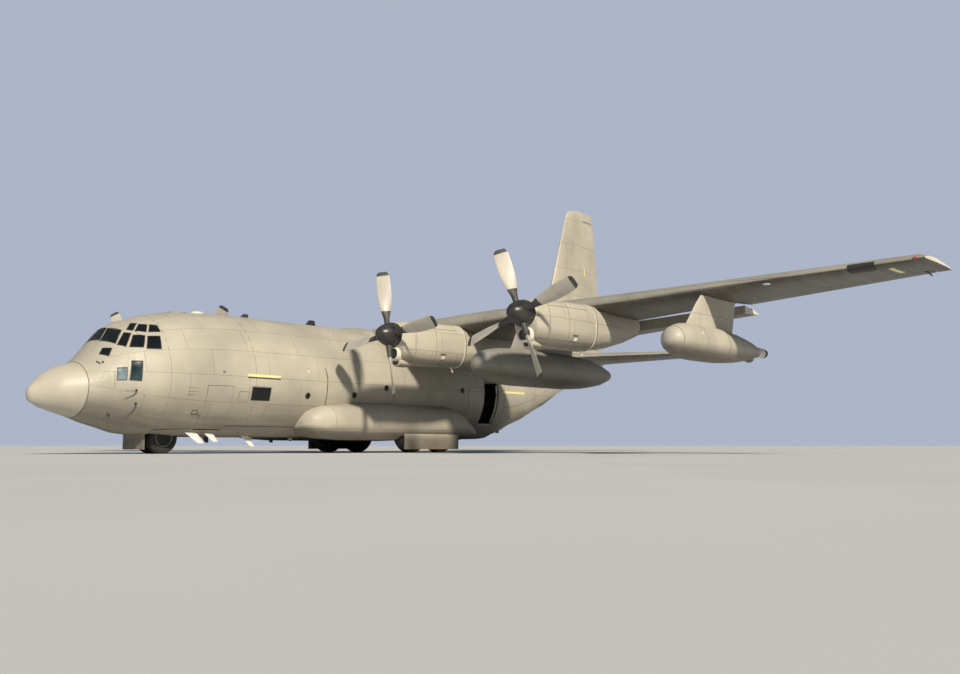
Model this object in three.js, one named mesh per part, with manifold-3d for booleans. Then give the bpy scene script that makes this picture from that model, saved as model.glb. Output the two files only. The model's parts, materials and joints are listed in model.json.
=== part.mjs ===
// Four-engined turboprop transport aircraft with a loading ramp in its tail, as a 1:2 scale model.
// Frame: +X to port, +Y aft, +Z up, the ground at z = 0. All sizes are full-size millimetres, and the
// finished group is drawn at MODEL_SCALE. A station is a distance aft of the nose tip.
import * as THREE from "three";
import { mergeVertices } from "three/addons/utils/BufferGeometryUtils.js";
import Module from "manifold-3d";

const wasm = await Module();
wasm.setup();

// Driving dimensions
const MODEL_SCALE = 0.5;
const TURN = 2 * Math.PI;
const LENGTH = 29790;
const WALL = 110;
const FIT = 0.8;
const RUNNING_GAP = 12;
const PIN_CLEARANCE = 1;
const FAR = 30000;
const SMOOTHING = 0.3;

const NOSE_JOINT = 1270;
const BULKHEAD = 6200;
const TAIL_JOINT = 18700;
const FLOOR = 1040;
const HOLD_CENTRE = 2330;
const BARREL = 2160;

// Small vector and angle helpers
const vec = (x, y, z) => new THREE.Vector3(x, y, z);
const degrees = THREE.MathUtils.degToRad;
const mix = THREE.MathUtils.lerp;

// Solids: a closed geometry becomes a solid for joining and cutting, and goes back to a geometry.
function solidOf(geometry) {
  const bare = geometry.clone();
  bare.deleteAttribute("normal");
  bare.deleteAttribute("uv");
  const merged = mergeVertices(bare, 1e-2);
  const corners = Array.from({ length: merged.index.count / 3 }, (_, i) =>
    Array.from(merged.index.array.slice(3 * i, 3 * i + 3)),
  ).filter(([a, b, c]) => a !== b && b !== c && c !== a);
  const build = (faces) =>
    new wasm.Manifold(
      new wasm.Mesh({
        numProp: 3,
        vertProperties: new Float32Array(merged.getAttribute("position").array),
        triVerts: new Uint32Array(faces.flat()),
      }),
    );
  const made = build(corners);
  return made.volume() > 0 ? made : build(corners.map(([a, b, c]) => [a, c, b]));
}

function geometryOf(solid) {
  const mesh = solid.getMesh();
  const geometry = new THREE.BufferGeometry();
  geometry.setAttribute("position", new THREE.BufferAttribute(mesh.vertProperties, 3));
  geometry.setIndex(new THREE.BufferAttribute(mesh.triVerts, 1));
  return geometry;
}

const join = (first, ...others) => others.reduce((whole, part) => whole.add(part), first);
const cut = (first, ...others) => others.reduce((whole, part) => whole.subtract(part), first);
const common = (first, ...others) => others.reduce((whole, part) => whole.intersect(part), first);

// A closed skin through rings with equally many points, shaped from the rows of a cylinder.
// Seen from the first ring towards the last, the points run counter-clockwise.
function loft(rings) {
  const around = rings[0].length;
  const rows = rings.length - 1;
  const geometry = new THREE.CylinderGeometry(1, 1, 1, around, rows);
  const centres = rings.map((ring) =>
    ring.reduce((sum, point) => sum.add(point), vec(0, 0, 0)).divideScalar(around),
  );
  const position = geometry.getAttribute("position");
  for (let i = 0; i < position.count; i++) {
    const row = Math.round((0.5 - position.getY(i)) * rows);
    const angle = Math.atan2(position.getX(i), position.getZ(i));
    const column = (Math.round((angle / TURN) * around) + around) % around;
    const onAxis = Math.hypot(position.getX(i), position.getZ(i)) < 0.5;
    const point = onAxis ? centres[row] : rings[row][column];
    position.setXYZ(i, point.x, point.y, point.z);
  }
  return solidOf(geometry);
}

// A box between two corners.
function block(low, high) {
  const size = high.clone().sub(low);
  const geometry = new THREE.BoxGeometry(size.x, size.y, size.z);
  const centre = low.clone().add(high).divideScalar(2);
  geometry.translate(centre.x, centre.y, centre.z);
  return solidOf(geometry);
}

// An outline of points extruded along X, Y or Z between two places. The outline's two numbers are the
// remaining axes in the order X, Y, Z.
function prism(axis, from, to, outline) {
  const shape = new THREE.Shape(outline.map(([a, b]) => new THREE.Vector2(a, b)));
  const geometry = new THREE.ExtrudeGeometry(shape, { depth: to - from, bevelEnabled: false });
  geometry.translate(0, 0, from);
  if (axis === "x") {
    geometry.rotateZ(TURN / 4);
    geometry.rotateY(TURN / 4);
  }
  if (axis === "y") {
    geometry.translate(0, 0, -from - to);
    geometry.rotateX(TURN / 4);
  }
  return solidOf(geometry);
}

// A round bar between two points, whose corners lie on the radius.
function bar(start, end, radius, sides = 12, endRadius = radius, turn = 0) {
  const along = end.clone().sub(start);
  const geometry = new THREE.CylinderGeometry(endRadius, radius, along.length(), sides);
  geometry.rotateY(turn);
  const aim = new THREE.Quaternion().setFromUnitVectors(vec(0, 1, 0), along.clone().normalize());
  geometry.applyQuaternion(aim);
  const centre = start.clone().add(end).divideScalar(2);
  geometry.translate(centre.x, centre.y, centre.z);
  return solidOf(geometry);
}

const flatToCorner = (radius, sides) => radius / Math.cos(Math.PI / sides);

// A hole round a bar of that radius, with its flats opposite the bar's corners.
function bore(start, end, radius, sides = 12) {
  const corner = flatToCorner(radius + PIN_CLEARANCE, sides);
  return bar(start, end, corner, sides, corner, Math.PI / sides);
}

// A profile of [radius, place] turned about an axis through a centre.
function turned(axis, centre, profile, sides) {
  const points = profile.map(([radius, place]) => new THREE.Vector2(radius, place));
  const geometry = new THREE.LatheGeometry(points, sides);
  if (axis === "x") geometry.rotateZ(-TURN / 4);
  geometry.translate(centre.x, centre.y, centre.z);
  return solidOf(geometry);
}

// Fuselage skin
// Columns: station, half-width, height of the widest place, top, lowest point of the lower arc, belly.
const HULL = [
  [0, 60, 1690, 1770, 1630, 1400],
  [60, 205, 1690, 1905, 1470, 1200],
  [350, 480, 1720, 2220, 1310, 1000],
  [750, 740, 1800, 2470, 1190, 900],
  [1270, 990, 1880, 2640, 1040, 700],
  [1620, 1150, 1930, 2950, 910, 600],
  [2230, 1450, 2070, 3720, 740, 500],
  [2700, 1710, 2160, 3980, 570, 500],
  [3300, 1870, 2210, 4170, 430, 500],
  [4200, 2030, 2270, 4370, 270, 500],
  [5300, 2130, 2310, 4450, 190, 500],
  [6200, 2160, 2330, 4490, 170, 500],
  [18700, 2160, 2330, 4490, 170, 500],
  [19300, 2155, 2400, 4490, 245, 810],
  [20500, 2100, 2560, 4490, 460, 1360],
  [21800, 2000, 2830, 4495, 830, 1940],
  [23200, 1840, 3200, 4510, 1360, 2560],
  [24400, 1650, 3560, 4530, 1910, 3095],
  [25500, 1430, 3860, 4560, 2430, 3540],
  [26600, 1170, 4090, 4590, 2920, 3860],
  [27800, 860, 4230, 4610, 3370, 4040],
  [28900, 520, 4370, 4620, 3850, 4200],
  [29500, 280, 4460, 4610, 4180, 4350],
  [LENGTH, 100, 4510, 4570, 4410, 4440],
];
const HULL_POINTS = 36;
const BELLY_SHARPNESS = 14;

function hullAt(station) {
  const last = HULL.length - 1;
  let row = HULL.findIndex((entry) => entry[0] > station) - 1;
  if (row < 0) row = last - 1;
  const [a, b] = [HULL[row], HULL[row + 1]];
  const share = (station - a[0]) / (b[0] - a[0]);
  const [, width, middle, top, low, belly] = a.map((value, i) => mix(value, b[i], share));
  return { width, middle, top, low, belly };
}

function hullRing(station, inset) {
  const h = hullAt(station);
  return Array.from({ length: HULL_POINTS }, (_, i) => {
    const angle = (i / HULL_POINTS) * TURN;
    const rise = Math.sin(angle);
    let height = (h.top - inset - h.middle) * rise;
    if (rise < 0) {
      const arc = (h.middle - h.low - inset) * -rise;
      const flat = h.middle - h.belly - inset;
      const k = BELLY_SHARPNESS;
      height = (-arc * flat) / (arc ** k + flat ** k) ** (1 / k);
    }
    return vec((h.width - inset) * Math.cos(angle), station, h.middle + height);
  });
}

function hull(from, to, inset = 0, step = 1) {
  const inner = HULL.map(([station]) => station)
    .filter((s) => s > from + 1 && s < to - 1)
    .filter((_, i) => i % step === 0);
  return loft([from, ...inner, to].map((station) => hullRing(station, inset)));
}

const bellyAt = (station) => hullAt(station).belly;

// Wing
const WING = {
  quarterStation: 13500,
  rootChord: 4880,
  tipChord: 2450,
  kink: 5590,
  tip: 20200,
  height: 4100,
  dihedral: Math.tan(degrees(2.5)),
  rootTwist: degrees(3),
  rootThickness: 0.18,
  tipThickness: 0.12,
  camber: 0.022,
};
const FOIL_STEPS = [0, 0.018, 0.07, 0.17, 0.32, 0.5, 0.68, 0.85, 1];
const CAMBER_PEAK = 0.4;
const EDGE_HALF_THICKNESS = 5;

// Points of an aerofoil as [distance aft, height], from the leading edge over the top and back below.
function aerofoil(chord, thickness, camber = 0) {
  const half = (f) =>
    5 * thickness * chord *
      (0.2969 * Math.sqrt(f) - 0.126 * f - 0.3516 * f ** 2 + 0.2843 * f ** 3 - 0.1036 * f ** 4) +
    EDGE_HALF_THICKNESS * f;
  const bow = (f) => {
    const p = CAMBER_PEAK;
    const rise = f < p ? (2 * p * f - f * f) / p ** 2 : (1 - 2 * p + 2 * p * f - f * f) / (1 - p) ** 2;
    return camber * chord * rise;
  };
  const upper = FOIL_STEPS.map((f) => [f * chord, bow(f) + half(f)]);
  const lower = FOIL_STEPS.slice(1).reverse().map((f) => [f * chord, bow(f) - half(f)]);
  return [...upper, ...lower];
}

const wingShare = (x) => Math.max(0, (x - WING.kink) / (WING.tip - WING.kink));
const chordAt = (x) => mix(WING.rootChord, WING.tipChord, wingShare(x));
const wingHeight = (x) => WING.height + WING.dihedral * Math.abs(x);

// The wing's section at a distance out from the centre line, grown all round by a margin.
function wingRing(x, grow = 0, squeeze = 1) {
  const chord = chordAt(Math.abs(x));
  const share = wingShare(Math.abs(x));
  const thickness = mix(WING.rootThickness, WING.tipThickness, share) * squeeze;
  const twist = WING.rootTwist * (1 - share);
  const places = aerofoil(chord, thickness, WING.camber);
  return places.map(([aft, up], i) => {
    const next = places[(i + 1) % places.length];
    const before = places[(i + places.length - 1) % places.length];
    const slope = new THREE.Vector2(-(next[1] - before[1]), next[0] - before[0]).normalize();
    const a = aft + slope.x * grow - chord / 4;
    const b = up + slope.y * grow;
    const y = WING.quarterStation + a * Math.cos(twist) + b * Math.sin(twist);
    const z = wingHeight(x) - a * Math.sin(twist) + b * Math.cos(twist);
    return vec(x, y, z);
  });
}

const wingPanel = (places, grow = 0) => loft(places.map((x) => wingRing(x, grow)));

// A point on the wing's section: share of the chord, and height above the chord line.
function onWing(x, share, up = 0) {
  const chord = chordAt(Math.abs(x));
  const twist = WING.rootTwist * (1 - wingShare(Math.abs(x)));
  const aft = (share - 0.25) * chord;
  const y = WING.quarterStation + aft * Math.cos(twist) + up * Math.sin(twist);
  return vec(x, y, wingHeight(x) - aft * Math.sin(twist) + up * Math.cos(twist));
}

// Materials
const paint = (color, roughness = 0.55, metalness = 0.1) =>
  new THREE.MeshStandardMaterial({ color, roughness, metalness });
const GREY = paint(0x9b9a92);
const PALE = paint(0xa9a89e, 0.5);
const DARK = paint(0x3c3d3d, 0.6);
const INNER = paint(0x7c8278, 0.7);
const GLASS = paint(0x1c2226, 0.1, 0.0);
const RUBBER = paint(0x1d1d1c, 0.85, 0.0);
const BLADE = paint(0xb3ada0, 0.5);
const STEEL = paint(0x8d9195, 0.35, 0.8);

// Assembly: every piece is a named mesh in the group.
const aircraft = new THREE.Group();
aircraft.name = "transport_aircraft";

function add(name, solid, material, group = aircraft) {
  const mesh = new THREE.Mesh(geometryOf(solid.simplify(SMOOTHING)), material);
  mesh.name = name;
  group.add(mesh);
  return mesh;
}

// The same solid on the port side and, mirrored, on the starboard side.
function addPair(name, solid, material) {
  add(name + "_port", solid, material);
  add(name + "_starboard", solid, material).scale.x = -1;
}

// Cockpit windows on the port side. Columns: lower front, upper front, upper back and lower back
// corners, each as distance out, station and height.
const WINDOWS = [
  [[360, 1920, 3275], [240, 2215, 3675], [720, 2375, 3600], [905, 2090, 3175]],
  [[960, 2115, 3140], [840, 2380, 3520], [990, 2525, 3510], [1170, 2265, 3080]],
  [[1225, 2345, 3075], [1070, 2540, 3440], [1255, 2820, 3440], [1450, 2665, 3075]],
  [[1505, 2730, 3045], [1295, 2880, 3430], [1410, 3215, 3455], [1630, 3140, 3055]],
  [[800, 2485, 3620], [655, 2700, 3840], [750, 2845, 3845], [950, 2600, 3595]],
  [[1015, 2635, 3570], [815, 2875, 3820], [945, 3070, 3815], [1175, 2900, 3570]],
  [[1200, 2965, 3570], [975, 3130, 3815], [1090, 3300, 3800], [1310, 3290, 3595]],
  [[695, 1715, 2845], [655, 1835, 3040], [905, 1985, 3035], [970, 1855, 2795]],
  [[1295, 1945, 2100], [1255, 1980, 2445], [1385, 2205, 2470], [1415, 2180, 2105]],
  [[1455, 2255, 2110], [1400, 2325, 2665], [1570, 2580, 2670], [1610, 2535, 2090]],
];
const CENTRE_PANE = [[300, 1930, 3305], [180, 2220, 3690], [-180, 2220, 3690], [-300, 1930, 3305]];

// A hole through the skin with four corners, straight along the face that they span.
function paneCut(corners) {
  const points = corners.map((corner) => vec(...corner));
  const outward = points[3].clone().sub(points[1]).cross(points[0].clone().sub(points[2])).normalize();
  const face = (distance) => points.map((point) => point.clone().addScaledVector(outward, distance));
  return loft([face(-200), face(200)]);
}

function windowCuts() {
  const panes = WINDOWS.map(paneCut);
  return join(paneCut(CENTRE_PANE), ...panes, ...panes.map(mirrored));
}

// Doors in the fuselage sides
const CREW_DOOR = {
  front: 4500,
  back: 5400,
  sill: 720,
  head: 2050,
  frontGap: 24,
  sillGap: 24,
  axisInset: 26,
  groove: 52,
};
const TROOP_DOOR = { front: 17400, back: 18310, sill: 1050, head: 2880, slide: degrees(50) };
const DEFLECTOR = { front: 16420, back: 17360, low: 1180, high: 2520, thickness: 50, lug: 80 };

const sideBox = (d, grow = 0, inboard = 900) =>
  block(vec(inboard, d.front - grow, d.sill - grow), vec(3000, d.back + grow, d.head + grow));

// Ramp and aft cargo door: hinge places and the seams between them.
const RAMP = {
  axis: vec(0, 19160, 800),
  barrel: 200,
  back: 21780,
  halfWidth: 1500,
  hingeHalfWidth: 1380,
  backTop: 2060,
};
const CARGO_DOOR = {
  axis: vec(0, 25150, 3560),
  barrel: 80,
  front: 21804,
  frontHalfWidth: 1490,
  backHalfWidth: 1150,
  depth: 230,
};
const SEAM_LEAN = 0.45;

function rampSolid() {
  const lean = SEAM_LEAN * (RAMP.backTop - bellyAt(RAMP.back));
  const wedge = prism("x", -RAMP.halfWidth, RAMP.halfWidth, [
    [RAMP.axis.y, RAMP.axis.z - RAMP.barrel],
    [RAMP.axis.y + 200, 300],
    [RAMP.back + SEAM_LEAN * 200, bellyAt(RAMP.back) - 200],
    [RAMP.back - lean, RAMP.backTop],
    [RAMP.axis.y, RAMP.axis.z + RAMP.barrel],
  ]);
  const barrel = rampBar(-RAMP.hingeHalfWidth, RAMP.hingeHalfWidth, RAMP.barrel);
  const corner = rampBar(RAMP.hingeHalfWidth, FAR, RAMP.barrel + 60);
  return common(cut(join(wedge, barrel), corner, mirrored(corner)), hull(TAIL_JOINT, 22500));
}

const rampBar = (from, to, radius) =>
  bar(vec(from, RAMP.axis.y, RAMP.axis.z), vec(to, RAMP.axis.y, RAMP.axis.z), radius, 32);

function rampOpening() {
  const half = RAMP.halfWidth + RUNNING_GAP;
  const middle = (RAMP.back + CARGO_DOOR.front) / 2;
  const barrel = rampBar(-half, half, RAMP.barrel + RUNNING_GAP);
  const way = prism("x", -half, half, [
    [RAMP.axis.y - 60, 200],
    [middle, 200],
    [middle, FLOOR + 1500],
    [RAMP.axis.y - 60, FLOOR + 1500],
  ]);
  return join(barrel, way);
}

function cargoDoorOutline(grow) {
  const { front, axis, frontHalfWidth, backHalfWidth, barrel } = CARGO_DOOR;
  const back = axis.y + barrel * 0.2 + grow;
  return [
    [frontHalfWidth + grow, front - grow],
    [backHalfWidth + grow, back],
    [-backHalfWidth - grow, back],
    [-frontHalfWidth - grow, front - grow],
  ];
}

function cargoDoorSolid() {
  const { front, axis, depth, barrel, backHalfWidth } = CARGO_DOOR;
  const plan = prism("z", 1500, 4500, cargoDoorOutline(0));
  const seamFoot = front + SEAM_LEAN * 100;
  const band = prism("x", -FAR, FAR, [
    [seamFoot, bellyAt(front) - 100],
    [axis.y, bellyAt(axis.y) - 300],
    [axis.y, bellyAt(axis.y) + depth * 0.7],
    [front - SEAM_LEAN * depth, bellyAt(front) + depth],
  ]);
  const hinge = bar(vec(-backHalfWidth, axis.y, axis.z), vec(backHalfWidth, axis.y, axis.z), barrel, 24);
  return common(join(common(plan, band), common(hinge, plan)), hull(20500, 26600));
}

function cargoDoorOpening() {
  const { axis, barrel, backHalfWidth, front } = CARGO_DOOR;
  const plan = prism("z", 1500, 3900, cargoDoorOutline(RUNNING_GAP));
  const ahead = block(vec(-FAR, front - 200, 0), vec(FAR, axis.y + RUNNING_GAP, 6000));
  const half = backHalfWidth + RUNNING_GAP;
  const ring = bar(vec(-half, axis.y, axis.z), vec(half, axis.y, axis.z), barrel + RUNNING_GAP, 24);
  return join(common(plan, ahead), ring);
}

// Hinge pins: short bars on an axis that reach from a fixed wall into the ends of a moving piece.
const PIN = { radius: 20, reach: 70, root: 60 };

function hingePins(start, end, gap = RUNNING_GAP, radius = PIN.radius) {
  const along = end.clone().sub(start).normalize();
  const sides = [
    [start, along],
    [end, along.clone().negate()],
  ];
  const place = (face, inward, distance) => face.clone().addScaledVector(inward, distance);
  return {
    pins: sides.map(([face, inward]) =>
      bar(place(face, inward, -gap - PIN.root), place(face, inward, PIN.reach), radius),
    ),
    holes: sides.map(([face, inward]) =>
      bore(place(face, inward, -gap / 2), place(face, inward, PIN.reach + 10), radius),
    ),
  };
}

// The port side's distance out from the centre line where the skin is at that height.
function skinAt(station, height, inset = 0) {
  const ring = hullRing(station, inset);
  const port = [...ring.slice(HULL_POINTS * 0.75), ...ring.slice(0, HULL_POINTS / 4 + 1)];
  const above = port.findIndex((point) => point.z > height);
  const [low, high] = [port[above - 1], port[above]];
  return mix(low.x, high.x, (height - low.z) / (high.z - low.z));
}

// Hull pieces
const skinBand = (from, to, depth, outer = 0) =>
  cut(hull(from, to, outer), hull(from - 50, to + 50, depth));

const insideOf = (from, to) => hull(from, to, WALL + FIT);

const CENTRE_SPAN = WING.kink - FIT / 2;
const centreFoil = (grow = 0) => wingPanel([-CENTRE_SPAN, 0, CENTRE_SPAN], grow);

const outerFoil = (grow = 0) =>
  loft([
    wingRing(WING.kink + FIT / 2 - grow / 4, grow),
    wingRing(12000, grow),
    wingRing(19950, grow),
    wingRing(WING.tip + grow, grow, 0.35),
  ]);

const SADDLE = [
  [11000, 700, 4440],
  [12100, 1350, 4590],
  [14600, 1450, 4600],
  [17400, 1200, 4550],
  [18400, 700, 4440],
];

function wingSaddle() {
  const base = 3900;
  return loft(SADDLE.map(([station, half, top]) =>
    Array.from({ length: 20 }, (_, i) => {
      const angle = (i / 20) * TURN;
      return vec(half * Math.cos(angle), station, base + (top - base) * Math.sin(angle));
    }),
  ));
}

function buildRadome() {
  add("radome", cut(hull(0, NOSE_JOINT - FIT / 2), hull(160, NOSE_JOINT + 50, 60, 2)), PALE);
}

const NOSE_BAY = { front: 3400, back: 4820, halfWidth: 700 };

// The crew door's hinge line follows the skin.
function crewDoorEdge(station) {
  const height = CREW_DOOR.sill + CREW_DOOR.sillGap + CREW_DOOR.axisInset;
  return vec(skinAt(station, height) - CREW_DOOR.axisInset, station, height);
}

function buildNose() {
  const skin = cut(
    hull(NOSE_JOINT + FIT / 2, BULKHEAD - FIT / 2),
    hull(NOSE_JOINT - 50, BULKHEAD + 50, WALL),
    windowCuts(),
    sideBox(CREW_DOOR),
    block(vec(-NOSE_BAY.halfWidth, NOSE_BAY.front, 0), vec(NOSE_BAY.halfWidth, NOSE_BAY.back, 900)),
  );
  const front = CREW_DOOR.front + CREW_DOOR.frontGap;
  const back = CREW_DOOR.back - RUNNING_GAP;
  const hinge = hingePins(crewDoorEdge(front), crewDoorEdge(back));
  const groove = bar(crewDoorEdge(CREW_DOOR.front), crewDoorEdge(CREW_DOOR.back), CREW_DOOR.groove, 16);
  add("nose_shell", join(cut(skin, groove), ...hinge.pins), GREY);
  const door = common(
    skinBand(4300, 5600, WALL),
    block(vec(900, front, CREW_DOOR.sill + CREW_DOOR.sillGap), vec(3000, back, CREW_DOOR.head - RUNNING_GAP)),
  );
  add("crew_door", cut(door, ...hinge.holes), GREY);
}

const GLAZING = { front: 1620, back: 3450, foot: 2050, thickness: 24 };

// Flight deck: floor, instrument panel and two seats in one piece, the bulkhead and the glass band.
function buildFlightDeck() {
  const deck = { top: 2040, thickness: 90, front: 1700, back: 6078 };
  const slab = block(vec(-FAR, deck.front, deck.top - deck.thickness), vec(FAR, deck.back, deck.top));
  const stairs = block(vec(500, 4350, 0), vec(FAR, FAR, FAR));
  const panelBlock = block(vec(-1300, 1720, deck.top - 10), vec(1300, 1860, 2990));
  const panel = common(panelBlock, hull(1500, 3700, WALL + GLAZING.thickness + 3 * FIT));
  const seats = [-600, 600].flatMap((x) => [
    block(vec(x - 250, 2650, deck.top - 10), vec(x + 250, 3150, 2470)),
    block(vec(x - 230, 3060, 2400), vec(x + 230, 3170, 3180)),
  ]);
  const deckSolid = common(cut(join(slab, panel, ...seats), stairs), insideOf(1500, 6190));
  add("flight_deck", deckSolid, INNER);
  const doorway = block(vec(250, 0, 0), vec(1050, FAR, 3000));
  const wall = block(vec(-FAR, 6080, FLOOR + FIT), vec(FAR, 6160, FAR));
  add("hold_bulkhead", cut(common(wall, insideOf(6000, 6199)), doorway), INNER);
  const band = cut(insideOf(GLAZING.front, GLAZING.back), hull(1200, 3900, WALL + FIT + GLAZING.thickness));
  const above = block(vec(-FAR, 0, GLAZING.foot), vec(FAR, FAR, FAR));
  add("cockpit_glazing", common(band, above), GLASS);
}

// Hold floor, ending in a lip over the ramp's round hinge edge.
function buildFloor() {
  const slab = block(vec(-FAR, 5000, FLOOR - 60), vec(FAR, RAMP.axis.y - 15, FLOOR));
  const barrelWay = rampBar(-FAR, FAR, RAMP.barrel + RUNNING_GAP);
  const doorWay = block(vec(1235, 4500, 0), vec(FAR, CREW_DOOR.back + 30, FAR));
  add("cargo_floor", cut(common(slab, insideOf(4900, 19300)), barrelWay, doorWay), INNER);
}

// Wheel places
const MAIN_WHEEL = { x: 2175, stations: [13130, 14650], radius: 710, halfWidth: 255, axle: 70, sides: 14 };
const NOSE_WHEEL = { x: 275, station: 4110, radius: 495, halfWidth: 165, axle: 45, sides: 14 };
const WELL = { front: 12330, back: 15450, inner: 1895, outer: 2500, top: 1480 };

// Air deflector ahead of each troop door, hinged at a lug near the middle of its front edge.
function deflectorParts() {
  const d = DEFLECTOR;
  const chord = vec(skinAt(17000, d.high) - skinAt(17000, d.low), 0, d.high - d.low).normalize();
  const outward = vec(chord.z, 0, -chord.x);
  const crest = vec(0, 0, HOLD_CENTRE).addScaledVector(outward, BARREL - 26);
  const axis = vec(crest.x, d.front + 60, crest.z);
  const along = (distance) => axis.clone().addScaledVector(chord, distance);
  const tilted = (from, to, half, inboard = 400) =>
    prism("y", from, to, [[-half, -inboard], [-half, 400], [half, 400], [half, -inboard]].map(([up, out]) => {
      const corner = crest.clone().addScaledVector(chord, up).addScaledVector(outward, out);
      return [corner.x, corner.z];
    }));
  const half = (d.high - d.low) / 2;
  const lug = common(tilted(d.front - 20, d.front + 84, d.lug, 130), hull(16000, 17800, 4));
  const notch = tilted(d.front, d.front + 100, d.lug + RUNNING_GAP);
  const panel = common(skinBand(16300, 17500, d.thickness), tilted(d.front + 28, d.back, half));
  const recess = common(
    skinBand(16300, 17500, d.thickness + 2 * RUNNING_GAP, -50),
    tilted(d.front, d.back + RUNNING_GAP, half + RUNNING_GAP),
  );
  const pin = bar(along(-140), along(140), 14);
  const hole = bore(along(-150), along(150), 14);
  return { axis, chord, panel: cut(panel, notch, hole), recess, lug: join(lug, pin) };
}

function buildCentre() {
  const deflector = deflectorParts();
  const bothSides = (solid) => join(solid, mirrored(solid));
  const wells = block(vec(WELL.inner, WELL.front, 0), vec(3000, WELL.back, WELL.top));
  const skin = cut(
    join(hull(BULKHEAD + FIT / 2, TAIL_JOINT - FIT / 2), wingSaddle()),
    hull(BULKHEAD - 50, TAIL_JOINT + 50, WALL),
    centreFoil(FIT),
    bothSides(join(sideBox(TROOP_DOOR), deflector.recess, wells)),
  );
  add("centre_shell", join(skin, bothSides(deflector.lug)), GREY);
  addPair("air_deflector", deflector.panel, GREY);
  const slab = common(skinBand(17300, 18450, WALL), sideBox(TROOP_DOOR, -FIT));
  add("paratroop_door_starboard", slab, GREY).scale.x = -1;
  const open = add("paratroop_door_port", slab, GREY);
  open.geometry.translate(0, 0, -HOLD_CENTRE);
  const inner = (BARREL - WALL - FIT) / BARREL;
  open.geometry.scale(inner, 1, inner);
  open.geometry.rotateY(-TROOP_DOOR.slide);
  open.position.z = HOLD_CENTRE;
}

function mirrored(solid) {
  const geometry = geometryOf(solid);
  geometry.scale(-1, 1, 1);
  return solidOf(geometry);
}

// Fin and tailplane sections
const FIN = [
  [4300, 22300, 29300, 330],
  [4700, 22900, 29310, 320],
  [5200, 23480, 29260, 310],
  [5870, 24040, 29180, 285],
  [7130, 24780, 29040, 230],
  [11250, 26190, 28560, 130],
  [11540, 26400, 28500, 110],
  [11660, 26800, 28380, 60],
];
// The space inside the fin, open at its foot.
const FIN_HOLLOW = [
  [4200, 22800, 27540, 255],
  [5200, 23740, 27520, 240],
  [7130, 24960, 27430, 170],
  [9800, 25870, 27310, 105],
];
const finRing = ([height, front, back, half], grow = 0) =>
  aerofoil(back - front + 2 * grow, (2 * (half + grow)) / (back - front)).map(([aft, side]) =>
    vec(-side, front - grow + aft, height),
  );

const TAILPLANE = { height: 4250, elevatorHinge: 27330, tip: 8030 };
const TAIL_SECTIONS = [
  [0, 24300, 28840, 265],
  [800, 24430, 28840, 265],
  [7700, 26265, 27905, 85],
  [8030, 26500, 27800, 40],
];
// The space inside the tailplane, open below in the fuselage.
const TAIL_HOLLOW = [
  [0, 24500, 27040, 205],
  [800, 24620, 27040, 205],
  [6500, 26090, 27130, 62],
];
const tailRing = (x, front, back, half, grow) =>
  aerofoil(back - front + 2 * grow, (2 * (half + grow)) / (back - front)).map(([aft, up]) =>
    vec(x, front - grow + aft, TAILPLANE.height + up),
  );

function tailFoil(grow = 0, sections = TAIL_SECTIONS) {
  const port = sections.map(([x, ...rest]) => tailRing(x, ...rest, grow));
  const starboard = sections.slice(1).map(([x, ...rest]) => tailRing(-x, ...rest, grow));
  return loft([...starboard.reverse(), ...port]);
}

// A hinged surface: what lies behind its hinge line joined to a round front edge on that line.
// Gives the surface, what to cut from the carrier, and the pins that the carrier holds.
function hingedSurface({ foil, start, end, radii, plan, planAxis, reach, endGap }) {
  const [radiusStart, radiusEnd] = radii;
  const along = end.clone().sub(start).normalize();
  const nose = bar(start, end, radiusStart, 20, radiusEnd);
  const wayStart = start.clone().addScaledVector(along, -endGap);
  const wayEnd = end.clone().addScaledVector(along, endGap);
  const [wide, narrow] = radii.map((radius) => flatToCorner(radius + RUNNING_GAP, 20));
  const way = bar(wayStart, wayEnd, wide, 20, narrow);
  const behind = prism(planAxis, reach[0], reach[1], plan(start, end, 0));
  const cleared = prism(planAxis, reach[0], reach[1], plan(wayStart, wayEnd, endGap));
  const holder = hingePins(start, end, endGap, Math.min(PIN.radius, radiusEnd * 0.5));
  return {
    surface: cut(join(common(foil, behind), nose), ...holder.holes),
    clearance: join(cleared, way),
    pins: holder.pins,
  };
}

const RUDDER = { foot: vec(0, 27900, 4960), head: vec(0, 27620, 11200), radii: [163, 101] };
const ELEVATOR = { inner: 1075, outer: 7640, radii: [177, 63], root: 800 };

function finWithRudder() {
  const foil = loft(FIN.map((row) => finRing(row)));
  const { foot, head, radii } = RUDDER;
  return {
    foil,
    ...hingedSurface({
      foil,
      start: foot,
      end: head,
      radii,
      planAxis: "x",
      reach: [-1000, 1000],
      endGap: 40,
      plan: (low, high) => [
        [low.y, low.z],
        [FAR, low.z],
        [FAR, high.z],
        [high.y, high.z],
      ],
    }),
  };
}

function elevatorParts() {
  const { inner, outer, radii, root } = ELEVATOR;
  const hinge = TAILPLANE.elevatorHinge;
  return hingedSurface({
    foil: tailFoil(),
    start: vec(inner, hinge, TAILPLANE.height),
    end: vec(outer, hinge, TAILPLANE.height),
    radii,
    planAxis: "z",
    reach: [3000, 5500],
    endGap: RUNNING_GAP * 2.5,
    plan: (from, to, gap) => [
      [from.x, hinge],
      [to.x, hinge],
      [to.x, FAR],
      [root - gap, FAR],
      [root - gap, 28840],
    ],
  });
}

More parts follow.
